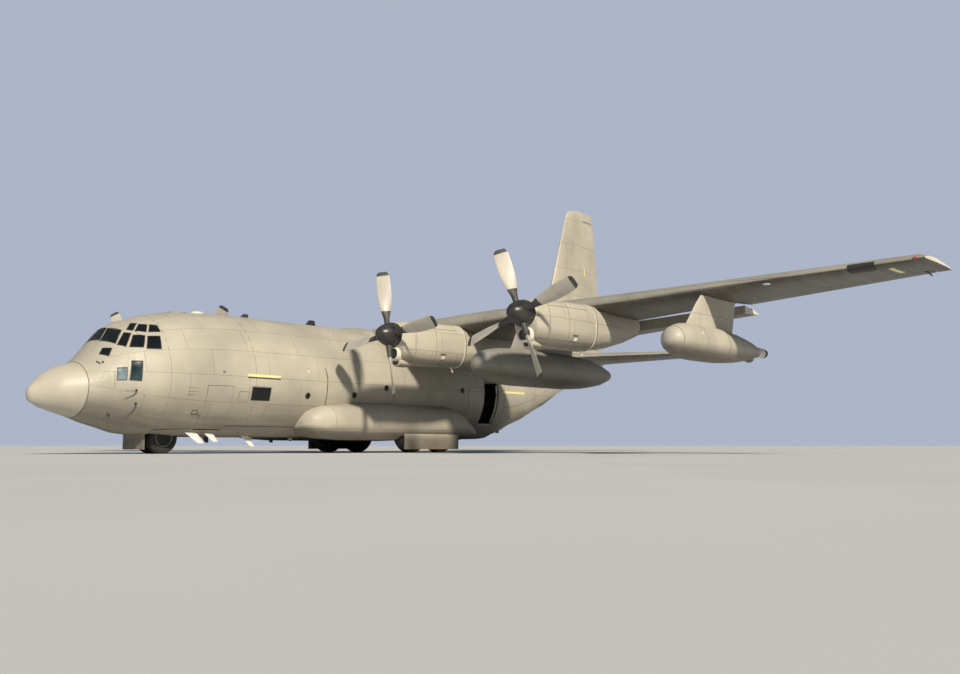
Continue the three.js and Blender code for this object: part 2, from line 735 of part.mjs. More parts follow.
function buildTail() {
  const fin = finWithRudder();
  const rampPin = hingePins(
    vec(-RAMP.hingeHalfWidth, RAMP.axis.y, RAMP.axis.z),
    vec(RAMP.hingeHalfWidth, RAMP.axis.y, RAMP.axis.z),
    RUNNING_GAP,
    40,
  );
  const cheekStart = RAMP.hingeHalfWidth + RUNNING_GAP;
  const rampCheek = common(rampBar(cheekStart, RAMP.halfWidth + 200, RAMP.barrel), hull(TAIL_JOINT, 20000));
  const doorEnd = CARGO_DOOR.backHalfWidth;
  const doorPin = hingePins(
    vec(-doorEnd, CARGO_DOOR.axis.y, CARGO_DOOR.axis.z),
    vec(doorEnd, CARGO_DOOR.axis.y, CARGO_DOOR.axis.z),
    RUNNING_GAP,
    30,
  );
  const { y: doorStation, z: doorHeight } = CARGO_DOOR.axis;
  const doorCheek = block(
    vec(doorEnd + RUNNING_GAP, doorStation - 85, doorHeight - 130),
    vec(doorEnd + RUNNING_GAP + 80, doorStation + 85, doorHeight + 85),
  );
  const cheeks = [rampCheek, mirrored(rampCheek), doorCheek, mirrored(doorCheek)];
  const floorWay = block(vec(-FAR, 18000, FLOOR - 60 - FIT), vec(FAR, RAMP.axis.y, FLOOR + FIT));
  const shell = cut(
    hull(TAIL_JOINT + FIT / 2, LENGTH),
    hull(TAIL_JOINT - 50, 27900, WALL),
    rampOpening(),
    cargoDoorOpening(),
    tailFoil(FIT),
  );
  add("aft_shell", join(shell, ...cheeks, ...rampPin.pins, ...doorPin.pins), GREY);
  add("ramp", cut(rampSolid(), ...rampPin.holes, floorWay), INNER);
  add("aft_cargo_door", cut(cargoDoorSolid(), ...doorPin.holes), GREY);
  const finHollow = loft(FIN_HOLLOW.map((row) => finRing(row)));
  const fixedFin = cut(fin.foil, finHollow, hull(20000, LENGTH, -FIT), tailFoil(FIT), fin.clearance);
  add("fin", join(fixedFin, ...fin.pins), GREY);
  add("rudder", fin.surface, GREY);
  const elevator = elevatorParts();
  const bothWays = join(elevator.clearance, mirrored(elevator.clearance));
  const tailEnd = block(vec(-FAR, TAILPLANE.elevatorHinge + 60, 0), vec(FAR, FAR, FAR));
  const way = block(vec(-250, 25400, 3700), vec(250, 26200, TAILPLANE.height));
  const plane = cut(tailFoil(), tailFoil(0, TAIL_HOLLOW), way, bothWays, tailEnd);
  const pins = [...elevator.pins, ...elevator.pins.map(mirrored)];
  add("tailplane", join(plane, ...pins), GREY);
  addPair("elevator", elevator.surface, GREY);
}

// Wing panels with flaps on straight tracks and hinged ailerons
const FLAP = { share: 0.7, shroud: 0.84, skin: 30, slope: degrees(24.5), rest: 626, railLength: 990 };
const FLAP_SPANS = [
  ["inner", 2250, 5560],
  ["outer", 5625, 14040],
];
const AILERON = { inner: 14180, outer: 19800, share: 0.73, gap: 45 };
const slideDirection = vec(0, Math.cos(FLAP.slope), -Math.sin(FLAP.slope));

const behindShare = (from, to, share, until = null) =>
  prism("z", 3000, 6500, [
    [from, onWing(from, share).y],
    [to, onWing(to, share).y],
    [to, until ? onWing(to, until).y : FAR],
    [from, until ? onWing(from, until).y : FAR],
  ]);

function moved(solid, offset) {
  const geometry = geometryOf(solid);
  geometry.translate(offset.x, offset.y, offset.z);
  return solidOf(geometry);
}

// A straight flat bar from the wing's rear wall along the flap's slide, and the slot that clears it.
function flapRail(x, grow) {
  const start = onWing(x, FLAP.share, 60);
  const half = 20 + grow;
  const top = grow;
  const depth = grow ? 700 : 56;
  const length = FLAP.railLength + (grow ? 40 : 0);
  const begin = grow ? -20 : -60;
  const at = (distance, drop) => [
    start.y + slideDirection.y * distance - Math.sin(FLAP.slope) * drop,
    start.z + slideDirection.z * distance - Math.cos(FLAP.slope) * drop,
  ];
  return prism("x", x - half, x + half, [
    at(begin, depth),
    at(length, depth),
    at(length, -top),
    at(begin, -top),
  ]);
}

// The room that a flap's lower front corner sweeps as it slides, over a width about a place on the wing.
function flapWay(x, half) {
  const corner = onWing(x + half, FLAP.share, -0.038 * chordAt(x + half));
  const low = corner.z - RUNNING_GAP * 1.2;
  const reach = 1600;
  return prism("x", x - half, x + half, [
    [corner.y, 9000],
    [corner.y, low],
    [corner.y + reach, low - reach * Math.tan(FLAP.slope)],
    [corner.y + reach, 9000],
  ]);
}

function flapParts(foil, [, from, to]) {
  const rear = behindShare(from - RUNNING_GAP, to + RUNNING_GAP, FLAP.share);
  const under = behindShare(from - RUNNING_GAP, to + RUNNING_GAP, FLAP.share, FLAP.shroud);
  const lip = cut(common(foil, under), moved(foil, vec(0, 0, -FLAP.skin)));
  const rails = [0.2, 0.8].map((share) => mix(from, to, share));
  const rearGap = FLAP.share + (RUNNING_GAP * 1.5) / chordAt(to);
  const shroudEnd = FLAP.shroud + (RUNNING_GAP * 1.5) / chordAt(to);
  const lowered = moved(foil, vec(0, 0, -FLAP.skin - RUNNING_GAP * 1.5));
  const raw = common(foil, behindShare(from, to, rearGap));
  const clear = cut(raw, cut(behindShare(from - 20, to + 20, FLAP.share, shroudEnd), lowered));
  const slots = rails.map((x) => flapRail(x, PIN_CLEARANCE));
  const flap = moved(cut(clear, ...slots), slideDirection.clone().multiplyScalar(FLAP.rest));
  return { removed: rear, kept: [lip, ...rails.map((x) => flapRail(x, 0))], flap };
}

function buildWings() {
  const inner = flapParts(centreFoil(), FLAP_SPANS[0]);
  const bothSides = (solid) => [solid, mirrored(solid)];
  const centre = cut(centreFoil(), ...bothSides(inner.removed));
  add("centre_wing", join(centre, ...inner.kept.flatMap(bothSides)), GREY);
  addPair("inner_flap", inner.flap, GREY);

  const foil = outerFoil();
  const outer = flapParts(foil, FLAP_SPANS[1]);
  const hingeAt = (x) => onWing(x, AILERON.share, 0.0137 * chordAt(x));
  const aileron = hingedSurface({
    foil,
    start: hingeAt(AILERON.inner),
    end: hingeAt(AILERON.outer),
    radii: [144, 91],
    planAxis: "z",
    reach: [3000, 6500],
    endGap: AILERON.gap,
    plan: (from, to) => [
      [from.x, from.y],
      [to.x, to.y],
      [to.x, FAR],
      [from.x, FAR],
    ],
  });
  const panel = join(cut(foil, outer.removed, aileron.clearance), ...outer.kept, ...aileron.pins);
  addPair("outer_wing", panel, GREY);
  addPair("outer_flap", outer.flap, GREY);
  addPair("aileron", aileron.surface, GREY);
}

// Engines. Columns: name, distance out from the centre line (port positive), thrust line, blade phase.
const ENGINES = [
  ["port_outer", 10160, 4020, 21],
  ["port_inner", 4900, 3760, 8],
  ["starboard_inner", -4900, 3760, 52],
  ["starboard_outer", -10160, 4020, 31],
];
const PROPELLER = { station: 9200, radius: 2057, shaft: 120, back: 260, shaftEnd: 540, sides: 24 };
const ENGINE_BLOCK = { front: 9770, back: 13200, half: 300, top: 60, bottom: -580 };

// Columns: station, half-width, top and bottom measured from the thrust line.
const NACELLE = [
  [9480, 400, 400, -440],
  [9540, 450, 440, -790],
  [9900, 520, 490, -900],
  [10600, 565, 520, -940],
  [12300, 565, 560, -900],
  [13400, 520, 620, -740],
  [14500, 420, 620, -480],
  [15400, 270, 560, -200],
];
const NACELLE_POINTS = 16;
const NACELLE_SHAPE = 2.5;

function nacelleRing(x, thrust, [station, half, top, bottom], inset = 0) {
  const middle = (top + bottom) / 2;
  const rise = (top - bottom) / 2 - inset;
  const power = 2 / NACELLE_SHAPE;
  return Array.from({ length: NACELLE_POINTS }, (_, i) => {
    const angle = ((i + 0.5) / NACELLE_POINTS) * TURN;
    const bend = (value) => Math.sign(value) * Math.abs(value) ** power;
    const across = (half - inset) * bend(Math.cos(angle));
    return vec(x + across, station, thrust + middle + rise * bend(Math.sin(angle)));
  });
}

function nacelleSolid(x, thrust, wing) {
  const outer = loft(NACELLE.map((row) => nacelleRing(x, thrust, row)));
  const innerRows = [1, 3, 4, 5, 7].map((i) => NACELLE[i].slice());
  innerRows[0][0] = 9610;
  innerRows[innerRows.length - 1][0] = 15500;
  const inner = loft(innerRows.map((row) => nacelleRing(x, thrust, row, 55)));
  const mouth = block(vec(x - 260, 9300, thrust - 700), vec(x + 260, 9700, thrust - 480));
  const shaftHole = bore(vec(x, 9300, thrust), vec(x, 9700, thrust), PROPELLER.shaft, PROPELLER.sides);
  const bearers = [10600, 12600].map((station) =>
    common(
      block(
        vec(x - 700, station, thrust - 1200),
        vec(x + 700, station + 120, thrust + ENGINE_BLOCK.bottom - FIT),
      ),
      outer,
    ),
  );
  return cut(join(cut(outer, inner), ...bearers), mouth, shaftHole, wing);
}

// Blade sections: distance from the hub's centre, chord, thickness, angle from the propeller's plane.
const BLADE_SECTIONS = [
  [250, 150, 150, 62],
  [560, 210, 170, 58],
  [800, 340, 95, 52],
  [1250, 460, 56, 43],
  [1850, 440, 32, 35],
  [PROPELLER.radius, 240, 16, 33],
];

function bladeSolid() {
  return loft(BLADE_SECTIONS.map(([radius, chord, thickness, pitch]) =>
    Array.from({ length: 8 }, (_, i) => {
      const angle = (i / 8) * TURN;
      const [a, b] = [(Math.cos(angle) * chord) / 2, (-Math.sin(angle) * thickness) / 2];
      const turn = degrees(pitch);
      return vec(a * Math.cos(turn) - b * Math.sin(turn), a * Math.sin(turn) + b * Math.cos(turn), radius);
    }),
  ));
}

const SPINNER = [
  [0, -480],
  [120, -445],
  [270, -270],
  [365, -20],
  [395, 180],
  [385, PROPELLER.back],
  [0, PROPELLER.back],
];

function propellerGeometry() {
  const blade = geometryOf(bladeSolid());
  const blades = [0, 1, 2, 3].map((quarter) => solidOf(blade.clone().rotateY((quarter * TURN) / 4)));
  const { shaft, back, shaftEnd, sides } = PROPELLER;
  const stub = bar(vec(0, back - 20, 0), vec(0, shaftEnd, 0), shaft, sides);
  return geometryOf(join(turned("y", vec(0, 0, 0), SPINNER, 16), stub, ...blades));
}

function buildEngines() {
  const nacelles = {
    4900: nacelleSolid(4900, 3760, join(centreFoil(FIT), outerFoil(FIT))),
    10160: nacelleSolid(10160, 4020, join(outerFoil(FIT), flapWay(10160, 300))),
  };
  const propeller = propellerGeometry();
  for (const [name, x, thrust, phase] of ENGINES) {
    add("nacelle_" + name, nacelles[Math.abs(x)], PALE).scale.x = Math.sign(x);
    const { front, back, half, top, bottom } = ENGINE_BLOCK;
    const core = block(vec(x - half, front, thrust + bottom), vec(x + half, back, thrust + top));
    add("engine_" + name, core, STEEL);
    const mesh = new THREE.Mesh(propeller, DARK);
    mesh.name = "propeller_" + name;
    mesh.position.set(x, PROPELLER.station, thrust);
    mesh.rotation.y = degrees(-phase);
    aircraft.add(mesh);
  }
}

// Tanks and refuelling pods under the outer wings, each with its pylon
const TANK = { x: 7690, height: 2750 };
const TANK_PROFILE = [
  [0, 10150],
  [190, 10200],
  [360, 10400],
  [490, 10800],
  [570, 11400],
  [600, 12200],
  [600, 14700],
  [530, 15900],
  [370, 17000],
  [170, 17650],
  [0, 17860],
];
const POD = { x: 14060, height: 3150 };
const POD_PROFILE = [
  [0, 10750],
  [200, 10800],
  [370, 11000],
  [480, 11400],
  [520, 12000],
  [510, 13400],
  [430, 14600],
  [280, 15700],
  [170, 16250],
  [150, 16700],
  [90, 16960],
  [0, 16960],
];

function slungStore(x, height, profile, pylon, half, wing) {
  const body = turned("y", vec(x, 0, height), profile, 16);
  const blade = prism("x", x - half, x + half, pylon);
  return cut(join(body, blade), wing);
}

function buildStores() {
  const wing = outerFoil(FIT);
  const tankPylon = [
    [11700, TANK.height + 300],
    [15300, TANK.height + 300],
    [15900, 4330],
    [12500, 4330],
  ];
  const tankClearance = join(wing, flapWay(TANK.x, 100));
  addPair("external_tank", slungStore(TANK.x, TANK.height, TANK_PROFILE, tankPylon, 75, tankClearance), PALE);
  const podPylon = [
    [11500, POD.height + 250],
    [14600, POD.height + 250],
    [15000, 4640],
    [12750, 4640],
  ];
  addPair("refuelling_pod", slungStore(POD.x, POD.height, POD_PROFILE, podPylon, 80, wing), PALE);
}

// Undercarriage fairings. Columns: station, outer distance, top, bottom.
const SPONSON = [
  [8250, 2080, 1150, 780],
  [8450, 2360, 1390, 620],
  [9000, 2550, 1570, 480],
  [10000, 2640, 1680, 430],
  [12000, 2680, 1720, 420],
  [15300, 2680, 1680, 420],
  [15900, 2600, 1450, 440],
  [16400, 2430, 1110, 500],
  [16900, 2180, 860, 590],
];
const SPONSON_INNER = 1000;

function sponsonLoft(grow = 0) {
  return loft(SPONSON.map(([station, outer, top, bottom]) => {
    const half = (outer - SPONSON_INNER) / 2;
    const bend = (value) => Math.sign(value) * Math.abs(value) ** (2 / 2.6);
    return Array.from({ length: 18 }, (_, i) => {
      const angle = (i / 18) * TURN;
      const across = (half + grow) * bend(Math.cos(angle));
      const up = ((top - bottom) / 2 + grow) * bend(Math.sin(angle));
      return vec((outer + SPONSON_INNER) / 2 + across, station, (top + bottom) / 2 + up);
    });
  }));
}

function buildSponsons() {
  const bay = block(vec(WELL.inner - 60, WELL.front, 0), vec(WELL.outer, WELL.back, 900));
  const body = hull(7500, 18600, -FIT);
  const shell = cut(sponsonLoft(), sponsonLoft(-50), body, bay);
  addPair("sponson", shell, GREY);
  const door = block(vec(2530, 12450, 120), vec(2565, 15350, 900));
  addPair("main_gear_door", cut(door, sponsonLoft(FIT)), GREY);
}

// Undercarriage
const wheelProfile = (w) => [
  [0, w.halfWidth * 0.55],
  [w.axle + PIN_CLEARANCE * 3, w.halfWidth * 0.55],
  [w.axle + PIN_CLEARANCE * 3, -w.halfWidth * 0.7],
  [w.radius * 0.24, -w.halfWidth * 0.7],
  [w.radius * 0.28, -w.halfWidth * 0.35],
  [w.radius * 0.5, -w.halfWidth * 0.35],
  [w.radius * 0.56, -w.halfWidth * 0.88],
  [w.radius * 0.76, -w.halfWidth],
  [w.radius, -w.halfWidth * 0.55],
  [w.radius, w.halfWidth * 0.55],
  [w.radius * 0.76, w.halfWidth],
  [w.radius * 0.56, w.halfWidth * 0.88],
  [w.radius * 0.5, w.halfWidth * 0.35],
  [w.radius * 0.24, w.halfWidth * 0.45],
  [w.radius * 0.18, w.halfWidth * 0.75],
  [0, w.halfWidth * 0.75],
];

// A wheel about X at the origin, with one of its flat treads down.
function wheelSolid(w, profile = wheelProfile(w)) {
  const grown = profile.map(([radius, place]) => [
    radius > w.radius * 0.5 ? flatToCorner(radius, w.sides) : radius,
    place,
  ]);
  const points = grown.map(([radius, place]) => new THREE.Vector2(radius, place));
  const geometry = new THREE.LatheGeometry(points, w.sides);
  geometry.rotateY(Math.PI / w.sides);
  geometry.rotateZ(-TURN / 4);
  return solidOf(geometry);
}

function buildMainGear() {
  const { x, stations, radius, halfWidth, axle } = MAIN_WHEEL;
  const wheel = geometryOf(wheelSolid(MAIN_WHEEL));
  const leg = { inner: 1740, outer: 1880, low: 560 };
  const columns = stations.flatMap((station) => [
    block(vec(leg.inner, station - 120, leg.low), vec(leg.outer, station + 120, 1400)),
    bar(vec(leg.inner + 20, station, radius), vec(x + halfWidth * 0.5, station, radius), axle, 16),
  ]);
  const beam = block(vec(leg.inner, stations[0], 780), vec(leg.outer, stations[1], 900));
  const legs = cut(join(beam, ...columns), hull(12000, 16000, -FIT));
  addPair("main_gear_legs", legs, STEEL);
  for (const [side, sign] of [["port", 1], ["starboard", -1]]) {
    for (const [place, station] of [["front", stations[0]], ["rear", stations[1]]]) {
      const mesh = new THREE.Mesh(wheel, RUBBER);
      mesh.name = "main_wheel_" + side + "_" + place;
      mesh.position.set(sign * x, station, radius);
      mesh.scale.x = sign;
      aircraft.add(mesh);
    }
  }
}

function buildNoseGear() {
  const { station, radius, halfWidth, axle, x } = NOSE_WHEEL;
  const centre = (height) => vec(0, station, height);
  const flange = bar(centre(1880), centre(1950 - FIT), 200, 16);
  const cylinder = bar(centre(1080), centre(1900), 100, 16);
  const socket = bore(centre(1000), centre(1600), 60, 16);
  add("nose_leg", cut(join(flange, cylinder), socket), STEEL);
  const piston = bar(centre(radius), centre(1560), 60, 16);
  const boss = bar(vec(-75, station, radius), vec(75, station, radius), 95, 16);
  const axleHole = bore(vec(-100, station, radius), vec(100, station, radius), axle, 16);
  add("nose_fork", cut(join(piston, boss), axleHole), STEEL);
  const disc = geometryOf(wheelSolid(NOSE_WHEEL, [[0, -halfWidth * 0.8], ...wheelProfile(NOSE_WHEEL).slice(3)]));
  const placed = [1, -1].map((side) => {
    const copy = disc.clone();
    copy.scale(side, 1, 1);
    copy.translate(side * x, station, radius);
    return solidOf(copy);
  });
  const shaft = bar(vec(-x, station, radius), vec(x, station, radius), axle, 16);
  add("nose_wheels", join(shaft, ...placed), RUBBER);
  const panel = block(vec(-560, 3330, 130), vec(560, 3368, 900));
  add("nose_gear_door", cut(panel, hull(2800, 4000, -FIT)), GREY);
}

buildRadome();
buildNose();
buildFlightDeck();
buildFloor();
buildCentre();
buildTail();
buildWings();
buildEngines();
buildStores();
buildSponsons();
buildMainGear();
buildNoseGear();

// The group's origin is on the ground below the middle of the length.
aircraft.scale.setScalar(MODEL_SCALE);
aircraft.position.y = (-LENGTH / 2) * MODEL_SCALE;

export default aircraft;
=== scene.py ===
import bmesh
import bpy
import json
import math
from mathutils import Matrix, Vector

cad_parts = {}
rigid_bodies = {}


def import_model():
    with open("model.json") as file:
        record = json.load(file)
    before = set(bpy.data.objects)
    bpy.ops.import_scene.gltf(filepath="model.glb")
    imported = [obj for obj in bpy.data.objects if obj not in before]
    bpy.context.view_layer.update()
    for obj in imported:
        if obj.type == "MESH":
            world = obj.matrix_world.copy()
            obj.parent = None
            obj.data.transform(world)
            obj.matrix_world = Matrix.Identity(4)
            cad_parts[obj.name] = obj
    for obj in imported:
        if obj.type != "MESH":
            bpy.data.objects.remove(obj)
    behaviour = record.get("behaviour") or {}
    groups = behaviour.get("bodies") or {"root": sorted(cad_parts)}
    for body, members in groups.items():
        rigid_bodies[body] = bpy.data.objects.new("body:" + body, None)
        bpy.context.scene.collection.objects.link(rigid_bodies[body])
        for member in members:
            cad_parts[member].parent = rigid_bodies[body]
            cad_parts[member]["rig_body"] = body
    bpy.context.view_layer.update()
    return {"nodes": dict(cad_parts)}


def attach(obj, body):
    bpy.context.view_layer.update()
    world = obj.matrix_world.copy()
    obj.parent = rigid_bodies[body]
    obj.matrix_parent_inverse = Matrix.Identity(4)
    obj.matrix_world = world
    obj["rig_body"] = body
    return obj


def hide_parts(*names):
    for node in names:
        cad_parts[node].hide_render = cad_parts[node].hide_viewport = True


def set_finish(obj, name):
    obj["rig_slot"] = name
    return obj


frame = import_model()
nodes = frame["nodes"]
SIDES = [("port", 1), ("starboard", -1)]
UP, DOWN, AHEAD = Vector((0, 0, 1)), Vector((0, 0, -1)), Vector((0, -1, 0))

SCALE = 2000  # full-size millimetres to a metre of the 1:2 model
ORIGIN = 14895  # the frame's origin, as a distance aft of the nose tip
HULL_MIDDLE, HULL_RADIUS = 1.165, 1.08  # in model metres
BELLY_BEND, NACELLE_BEND, SPONSON_BEND = 14, 2.5, 2.6  # how square the corners of each section are
SPONSON_ROOT = 1000  # how far out the sections of the undercarriage fairings start


def place(x, station, z):
    """A point in model metres, from full-size millimetres out to port, aft of the nose tip and up."""
    return Vector((x / SCALE, (station - ORIGIN) / SCALE, z / SCALE))


def measures(point):
    """A point's full-size distance out, station and height."""
    return point.x * SCALE, point.y * SCALE + ORIGIN, point.z * SCALE


def blend(a, b, share):
    return a + (b - a) * share


def between(rows, at):
    """Values of a table's row at a place given by its first column."""
    for a, b in zip(rows, rows[1:]):
        if at <= b[0]:
            break
    share = (at - a[0]) / (b[0] - a[0])
    return [blend(p, q, share) for p, q in zip(a[1:], b[1:])]


def inside(rows, at):
    """Values of a table's row, from just inside its ends at the furthest."""
    return between(rows, min(max(at, rows[0][0] + 1), rows[-1][0] - 1))


def circle(count):
    """Cosine and sine at even steps round a circle."""
    steps = [2 * math.pi * i / count for i in range(count)]
    return [(math.cos(a), math.sin(a)) for a in steps]


def squared(c, s, power):
    """A circle's point, moved out towards the corners of a square."""
    return [math.copysign(abs(v) ** power, v) for v in (c, s)]


# Fuselage sections: station, half-width, height of the widest line, top, bottom of the round, flat belly
HULL = [
    [0, 60, 1690, 1770, 1630, 1400], [60, 205, 1690, 1905, 1470, 1200], [350, 480, 1720, 2220, 1310, 1000],
    [750, 740, 1800, 2470, 1190, 900], [1270, 990, 1880, 2640, 1040, 700], [1620, 1150, 1930, 2950, 910, 600],
    [2230, 1450, 2070, 3720, 740, 500], [2700, 1710, 2160, 3980, 570, 500], [3300, 1870, 2210, 4170, 430, 500],
    [4200, 2030, 2270, 4370, 270, 500], [5300, 2130, 2310, 4450, 190, 500], [6200, 2160, 2330, 4490, 170, 500],
    [18700, 2160, 2330, 4490, 170, 500], [19300, 2155, 2400, 4490, 245, 810], [20500, 2100, 2560, 4490, 460, 1360],
    [21800, 2000, 2830, 4495, 830, 1940], [23200, 1840, 3200, 4510, 1360, 2560], [24400, 1650, 3560, 4530, 1910, 3095],
    [25500, 1430, 3860, 4560, 2430, 3540], [26600, 1170, 4090, 4590, 2920, 3860], [27800, 860, 4230, 4610, 3370, 4040],
    [28900, 520, 4370, 4620, 3850, 4200], [29500, 280, 4460, 4610, 4180, 4350], [29790, 100, 4510, 4570, 4410, 4440],
]


def hull_round(station, degrees, lift=0.0):
    """A point on the fuselage at an angle round its section, 0 at the port side and 90 at the crown."""
    width, middle, top, low, belly = between(HULL, station)
    angle = math.radians(degrees)
    rise = math.sin(angle)
    height = (top - middle + lift) * rise
    if rise < 0:
        arc, flat = (middle - low + lift) * -rise, middle - belly + lift
        height = -arc * flat / (arc ** BELLY_BEND + flat ** BELLY_BEND) ** (1 / BELLY_BEND) if arc > 1 else -arc
    return place((width + lift) * math.cos(angle), station, middle + height)


def hull_side(station, z, side=1, lift=0.0):
    """A point on the fuselage side at a height."""
    width, middle, top, low, belly = between(HULL, station)
    if z >= middle:
        rise = min(1, (z - middle) / (top - middle))
    else:
        depth, flat = middle - z, middle - belly
        arc = flat * 1.3
        if depth < 0.985 * flat:
            arc = (depth ** -BELLY_BEND - flat ** -BELLY_BEND) ** (-1 / BELLY_BEND)
        rise = -min(1, arc / (middle - low))
    point = hull_round(station, math.degrees(math.asin(rise)), lift)
    return Vector((side * point.x, point.y, point.z))


def hull_level(x, station, z):
    """1 on the fuselage skin, less inside and more outside."""
    width, middle, top, low, belly = inside(HULL, station)
    if z >= middle:
        return math.hypot(x / width, (z - middle) / (top - middle))
    around = math.hypot(x / width, (z - middle) / (middle - low))
    return (around ** BELLY_BEND + ((middle - z) / (middle - belly)) ** BELLY_BEND) ** (1 / BELLY_BEND)


# Wing: chord and thickness at the kink and at the tip, and angles in degrees
WING = {
    "chord": (4880, 2450), "thickness": (0.18, 0.12), "kink": 5590, "tip": 20200, "spar": 13500, "height": 4100,
    "camber": 0.022, "twist": 3, "dihedral": 2.5,
}


def wing_point(x, bow_share, lift=0.0):
    """A point on the wing's skin. bow_share runs from -1 at the trailing edge below, through 0 at the
    leading edge, to 1 at the trailing edge above; its square is the share of the chord."""
    out = abs(x)
    share = max(0, (out - WING["kink"]) / (WING["tip"] - WING["kink"]))
    chord = blend(*WING["chord"], share)
    thickness = blend(*WING["thickness"], share)
    twist = math.radians(WING["twist"]) * (1 - share)
    f = bow_share ** 2
    root = abs(bow_share)
    half = 5 * thickness * chord * (
        0.2969 * root - 0.126 * f - 0.3516 * f ** 2 + 0.2843 * f ** 3 - 0.1036 * f ** 4
    ) + 5 * f
    bow = (0.8 * f - f * f) / 0.16 if f < 0.4 else (0.2 + 0.8 * f - f * f) / 0.36
    up = WING["camber"] * chord * bow + math.copysign(half + lift, bow_share)
    aft = (f - 0.25) * chord - (lift if f < 0.01 else 0)
    rise = WING["height"] + math.tan(math.radians(WING["dihedral"])) * out
    y = WING["spar"] + aft * math.cos(twist) + up * math.sin(twist)
    z = rise - aft * math.sin(twist) + up * math.cos(twist)
    return place(x, y, z)


def wing_normal(co):
    """The wing's smooth outward normal beside a point of its skin, or None away from it."""
    x = measures(co)[0]
    if abs(x) > WING["tip"] - 50:
        return None
    distance, s = min(((wing_point(x, step / 40) - co).length, step / 40) for step in range(-40, 41))
    for size in (0.0125, 0.006, 0.003):
        for t in (s - size, s + size):
            if -1 <= t <= 1 and (wing_point(x, t) - co).length < distance:
                distance, s = (wing_point(x, t) - co).length, t
    if distance > 0.02:
        return None
    along = wing_point(x, min(1, s + 0.01)) - wing_point(x, max(-1, s - 0.01))
    out = wing_point(x + 60, s) - wing_point(x - 60, s)
    return along.cross(out).normalized() * -1


# Nacelle sections: station, half-width, top and bottom from the thrust line
NACELLE = [
    [9480, 400, 400, -440], [9540, 450, 440, -790], [9900, 520, 490, -900], [10600, 565, 520, -940],
    [12300, 565, 560, -900], [13400, 520, 620, -740], [14500, 420, 620, -480], [15400, 270, 560, -200],
]
# Engines: name, distance out, height of the thrust line, turn of the propeller in degrees
ENGINES = [
    ("port_outer", 10160, 4020, 21), ("port_inner", 4900, 3760, 8),
    ("starboard_inner", -4900, 3760, 52), ("starboard_outer", -10160, 4020, 31),
]
# Undercarriage fairings: station, outer edge, top, bottom
SPONSON = [
    [8250, 2080, 1150, 780], [8450, 2360, 1390, 620], [9000, 2550, 1570, 480], [10000, 2640, 1680, 430],
    [12000, 2680, 1720, 420], [15300, 2680, 1680, 420], [15900, 2600, 1450, 440], [16400, 2430, 1110, 500],
    [16900, 2180, 860, 590],
]


def nacelle_point(x, thrust, station, degrees, lift=0.0):
    half, top, bottom = between(NACELLE, station)
    angle = math.radians(degrees)
    across, up = squared(math.cos(angle), math.sin(angle), 2 / NACELLE_BEND)
    rise = (top - bottom) / 2 + lift
    return place(x + (half + lift) * across, station, thrust + (top + bottom) / 2 + rise * up)


def nacelle_normal(x, thrust):
    """The smooth normal of one engine's housing."""
    def level(px, station, pz):
        half, top, bottom = inside(NACELLE, station)
        across, up = (px - x) / half, (pz - thrust - (top + bottom) / 2) / ((top - bottom) / 2)
        return (abs(across) ** NACELLE_BEND + abs(up) ** NACELLE_BEND) ** (1 / NACELLE_BEND)
    return level_normal(level)


def sponson_level(px, station, pz):
    """1 on the skin of an undercarriage fairing."""
    outer, top, bottom = inside(SPONSON, station)
    across = (abs(px) - (outer + SPONSON_ROOT) / 2) / ((outer - SPONSON_ROOT) / 2)
    up = (pz - (top + bottom) / 2) / ((top - bottom) / 2)
    return (abs(across) ** SPONSON_BEND + abs(up) ** SPONSON_BEND) ** (1 / SPONSON_BEND)


ACROSS, ALONG = 4, 220  # how far to each side a form's slope is measured, in its section and along it


def level_normal(level):
    """A function that gives the smooth normal of a form beside a point of its skin, or None."""
    def normal(co):
        x, s, z = measures(co)
        if abs(level(x, s, z) - 1) > 0.03:
            return None
        dx = level(x + ACROSS, s, z) - level(x - ACROSS, s, z)
        dz = level(x, s, z + ACROSS) - level(x, s, z - ACROSS)
        ds = (level(x, s + ALONG, z) - level(x, s - ALONG, z)) * ACROSS / ALONG
        return Vector((dx, ds, dz)).normalized()
    return normal


# Finishes
def wire(tree, kind, settings=None, **inputs):
    """Adds a shader node. Inputs are values or other nodes' outputs; i0, i1... are inputs by number."""
    made = tree.nodes.new("ShaderNode" + kind)
    for key, value in (settings or {}).items():
        setattr(made, key, value)
    for key, value in inputs.items():
        socket = made.inputs[int(key[1:]) if key[1:].isdigit() else key.replace("_", " ")]
        if isinstance(value, bpy.types.NodeSocket):
            tree.links.new(value, socket)
        else:
            socket.default_value = value
    return made


def new_finish(name, roughness, metallic=0.0, **constants):
    finish = bpy.data.materials.new(name)
    finish.use_nodes = True
    tree = finish.node_tree
    tree.nodes.clear()
    surface = wire(tree, "BsdfPrincipled", Roughness=roughness, Metallic=metallic, **constants)
    output = tree.nodes.new("ShaderNodeOutputMaterial")
    tree.links.new(surface.outputs[0], output.inputs[0])
    where = tree.nodes.new("ShaderNodeTexCoord").outputs["Object"]
    return finish, tree, surface, where


def ramp(tree, value, low, high, to_low=0.0, to_high=1.0):
    made = wire(tree, "MapRange", {"clamp": True}, i0=value, i1=low, i2=high, i3=to_low, i4=to_high)
    return made.outputs[0]


def maths(tree, kind, a, b=0.0):
    return wire(tree, "Math", {"operation": kind}, i0=a, i1=b).outputs[0]


def rgba(tone):
    """A shader node's colour, from one grey value or from three values."""
    return (*(tone if isinstance(tone, tuple) else (tone,) * 3), 1.0)


def colour_mix(tree, share, a, b, kind="MIX"):
    """Mixes two colours. Each is another node's output, one grey value or three values."""
    a, b = [v if isinstance(v, bpy.types.NodeSocket) else rgba(v) for v in (a, b)]
    made = wire(tree, "Mix", {"data_type": "RGBA", "blend_type": kind}, i0=share, i6=a, i7=b)
    return made.outputs[2]


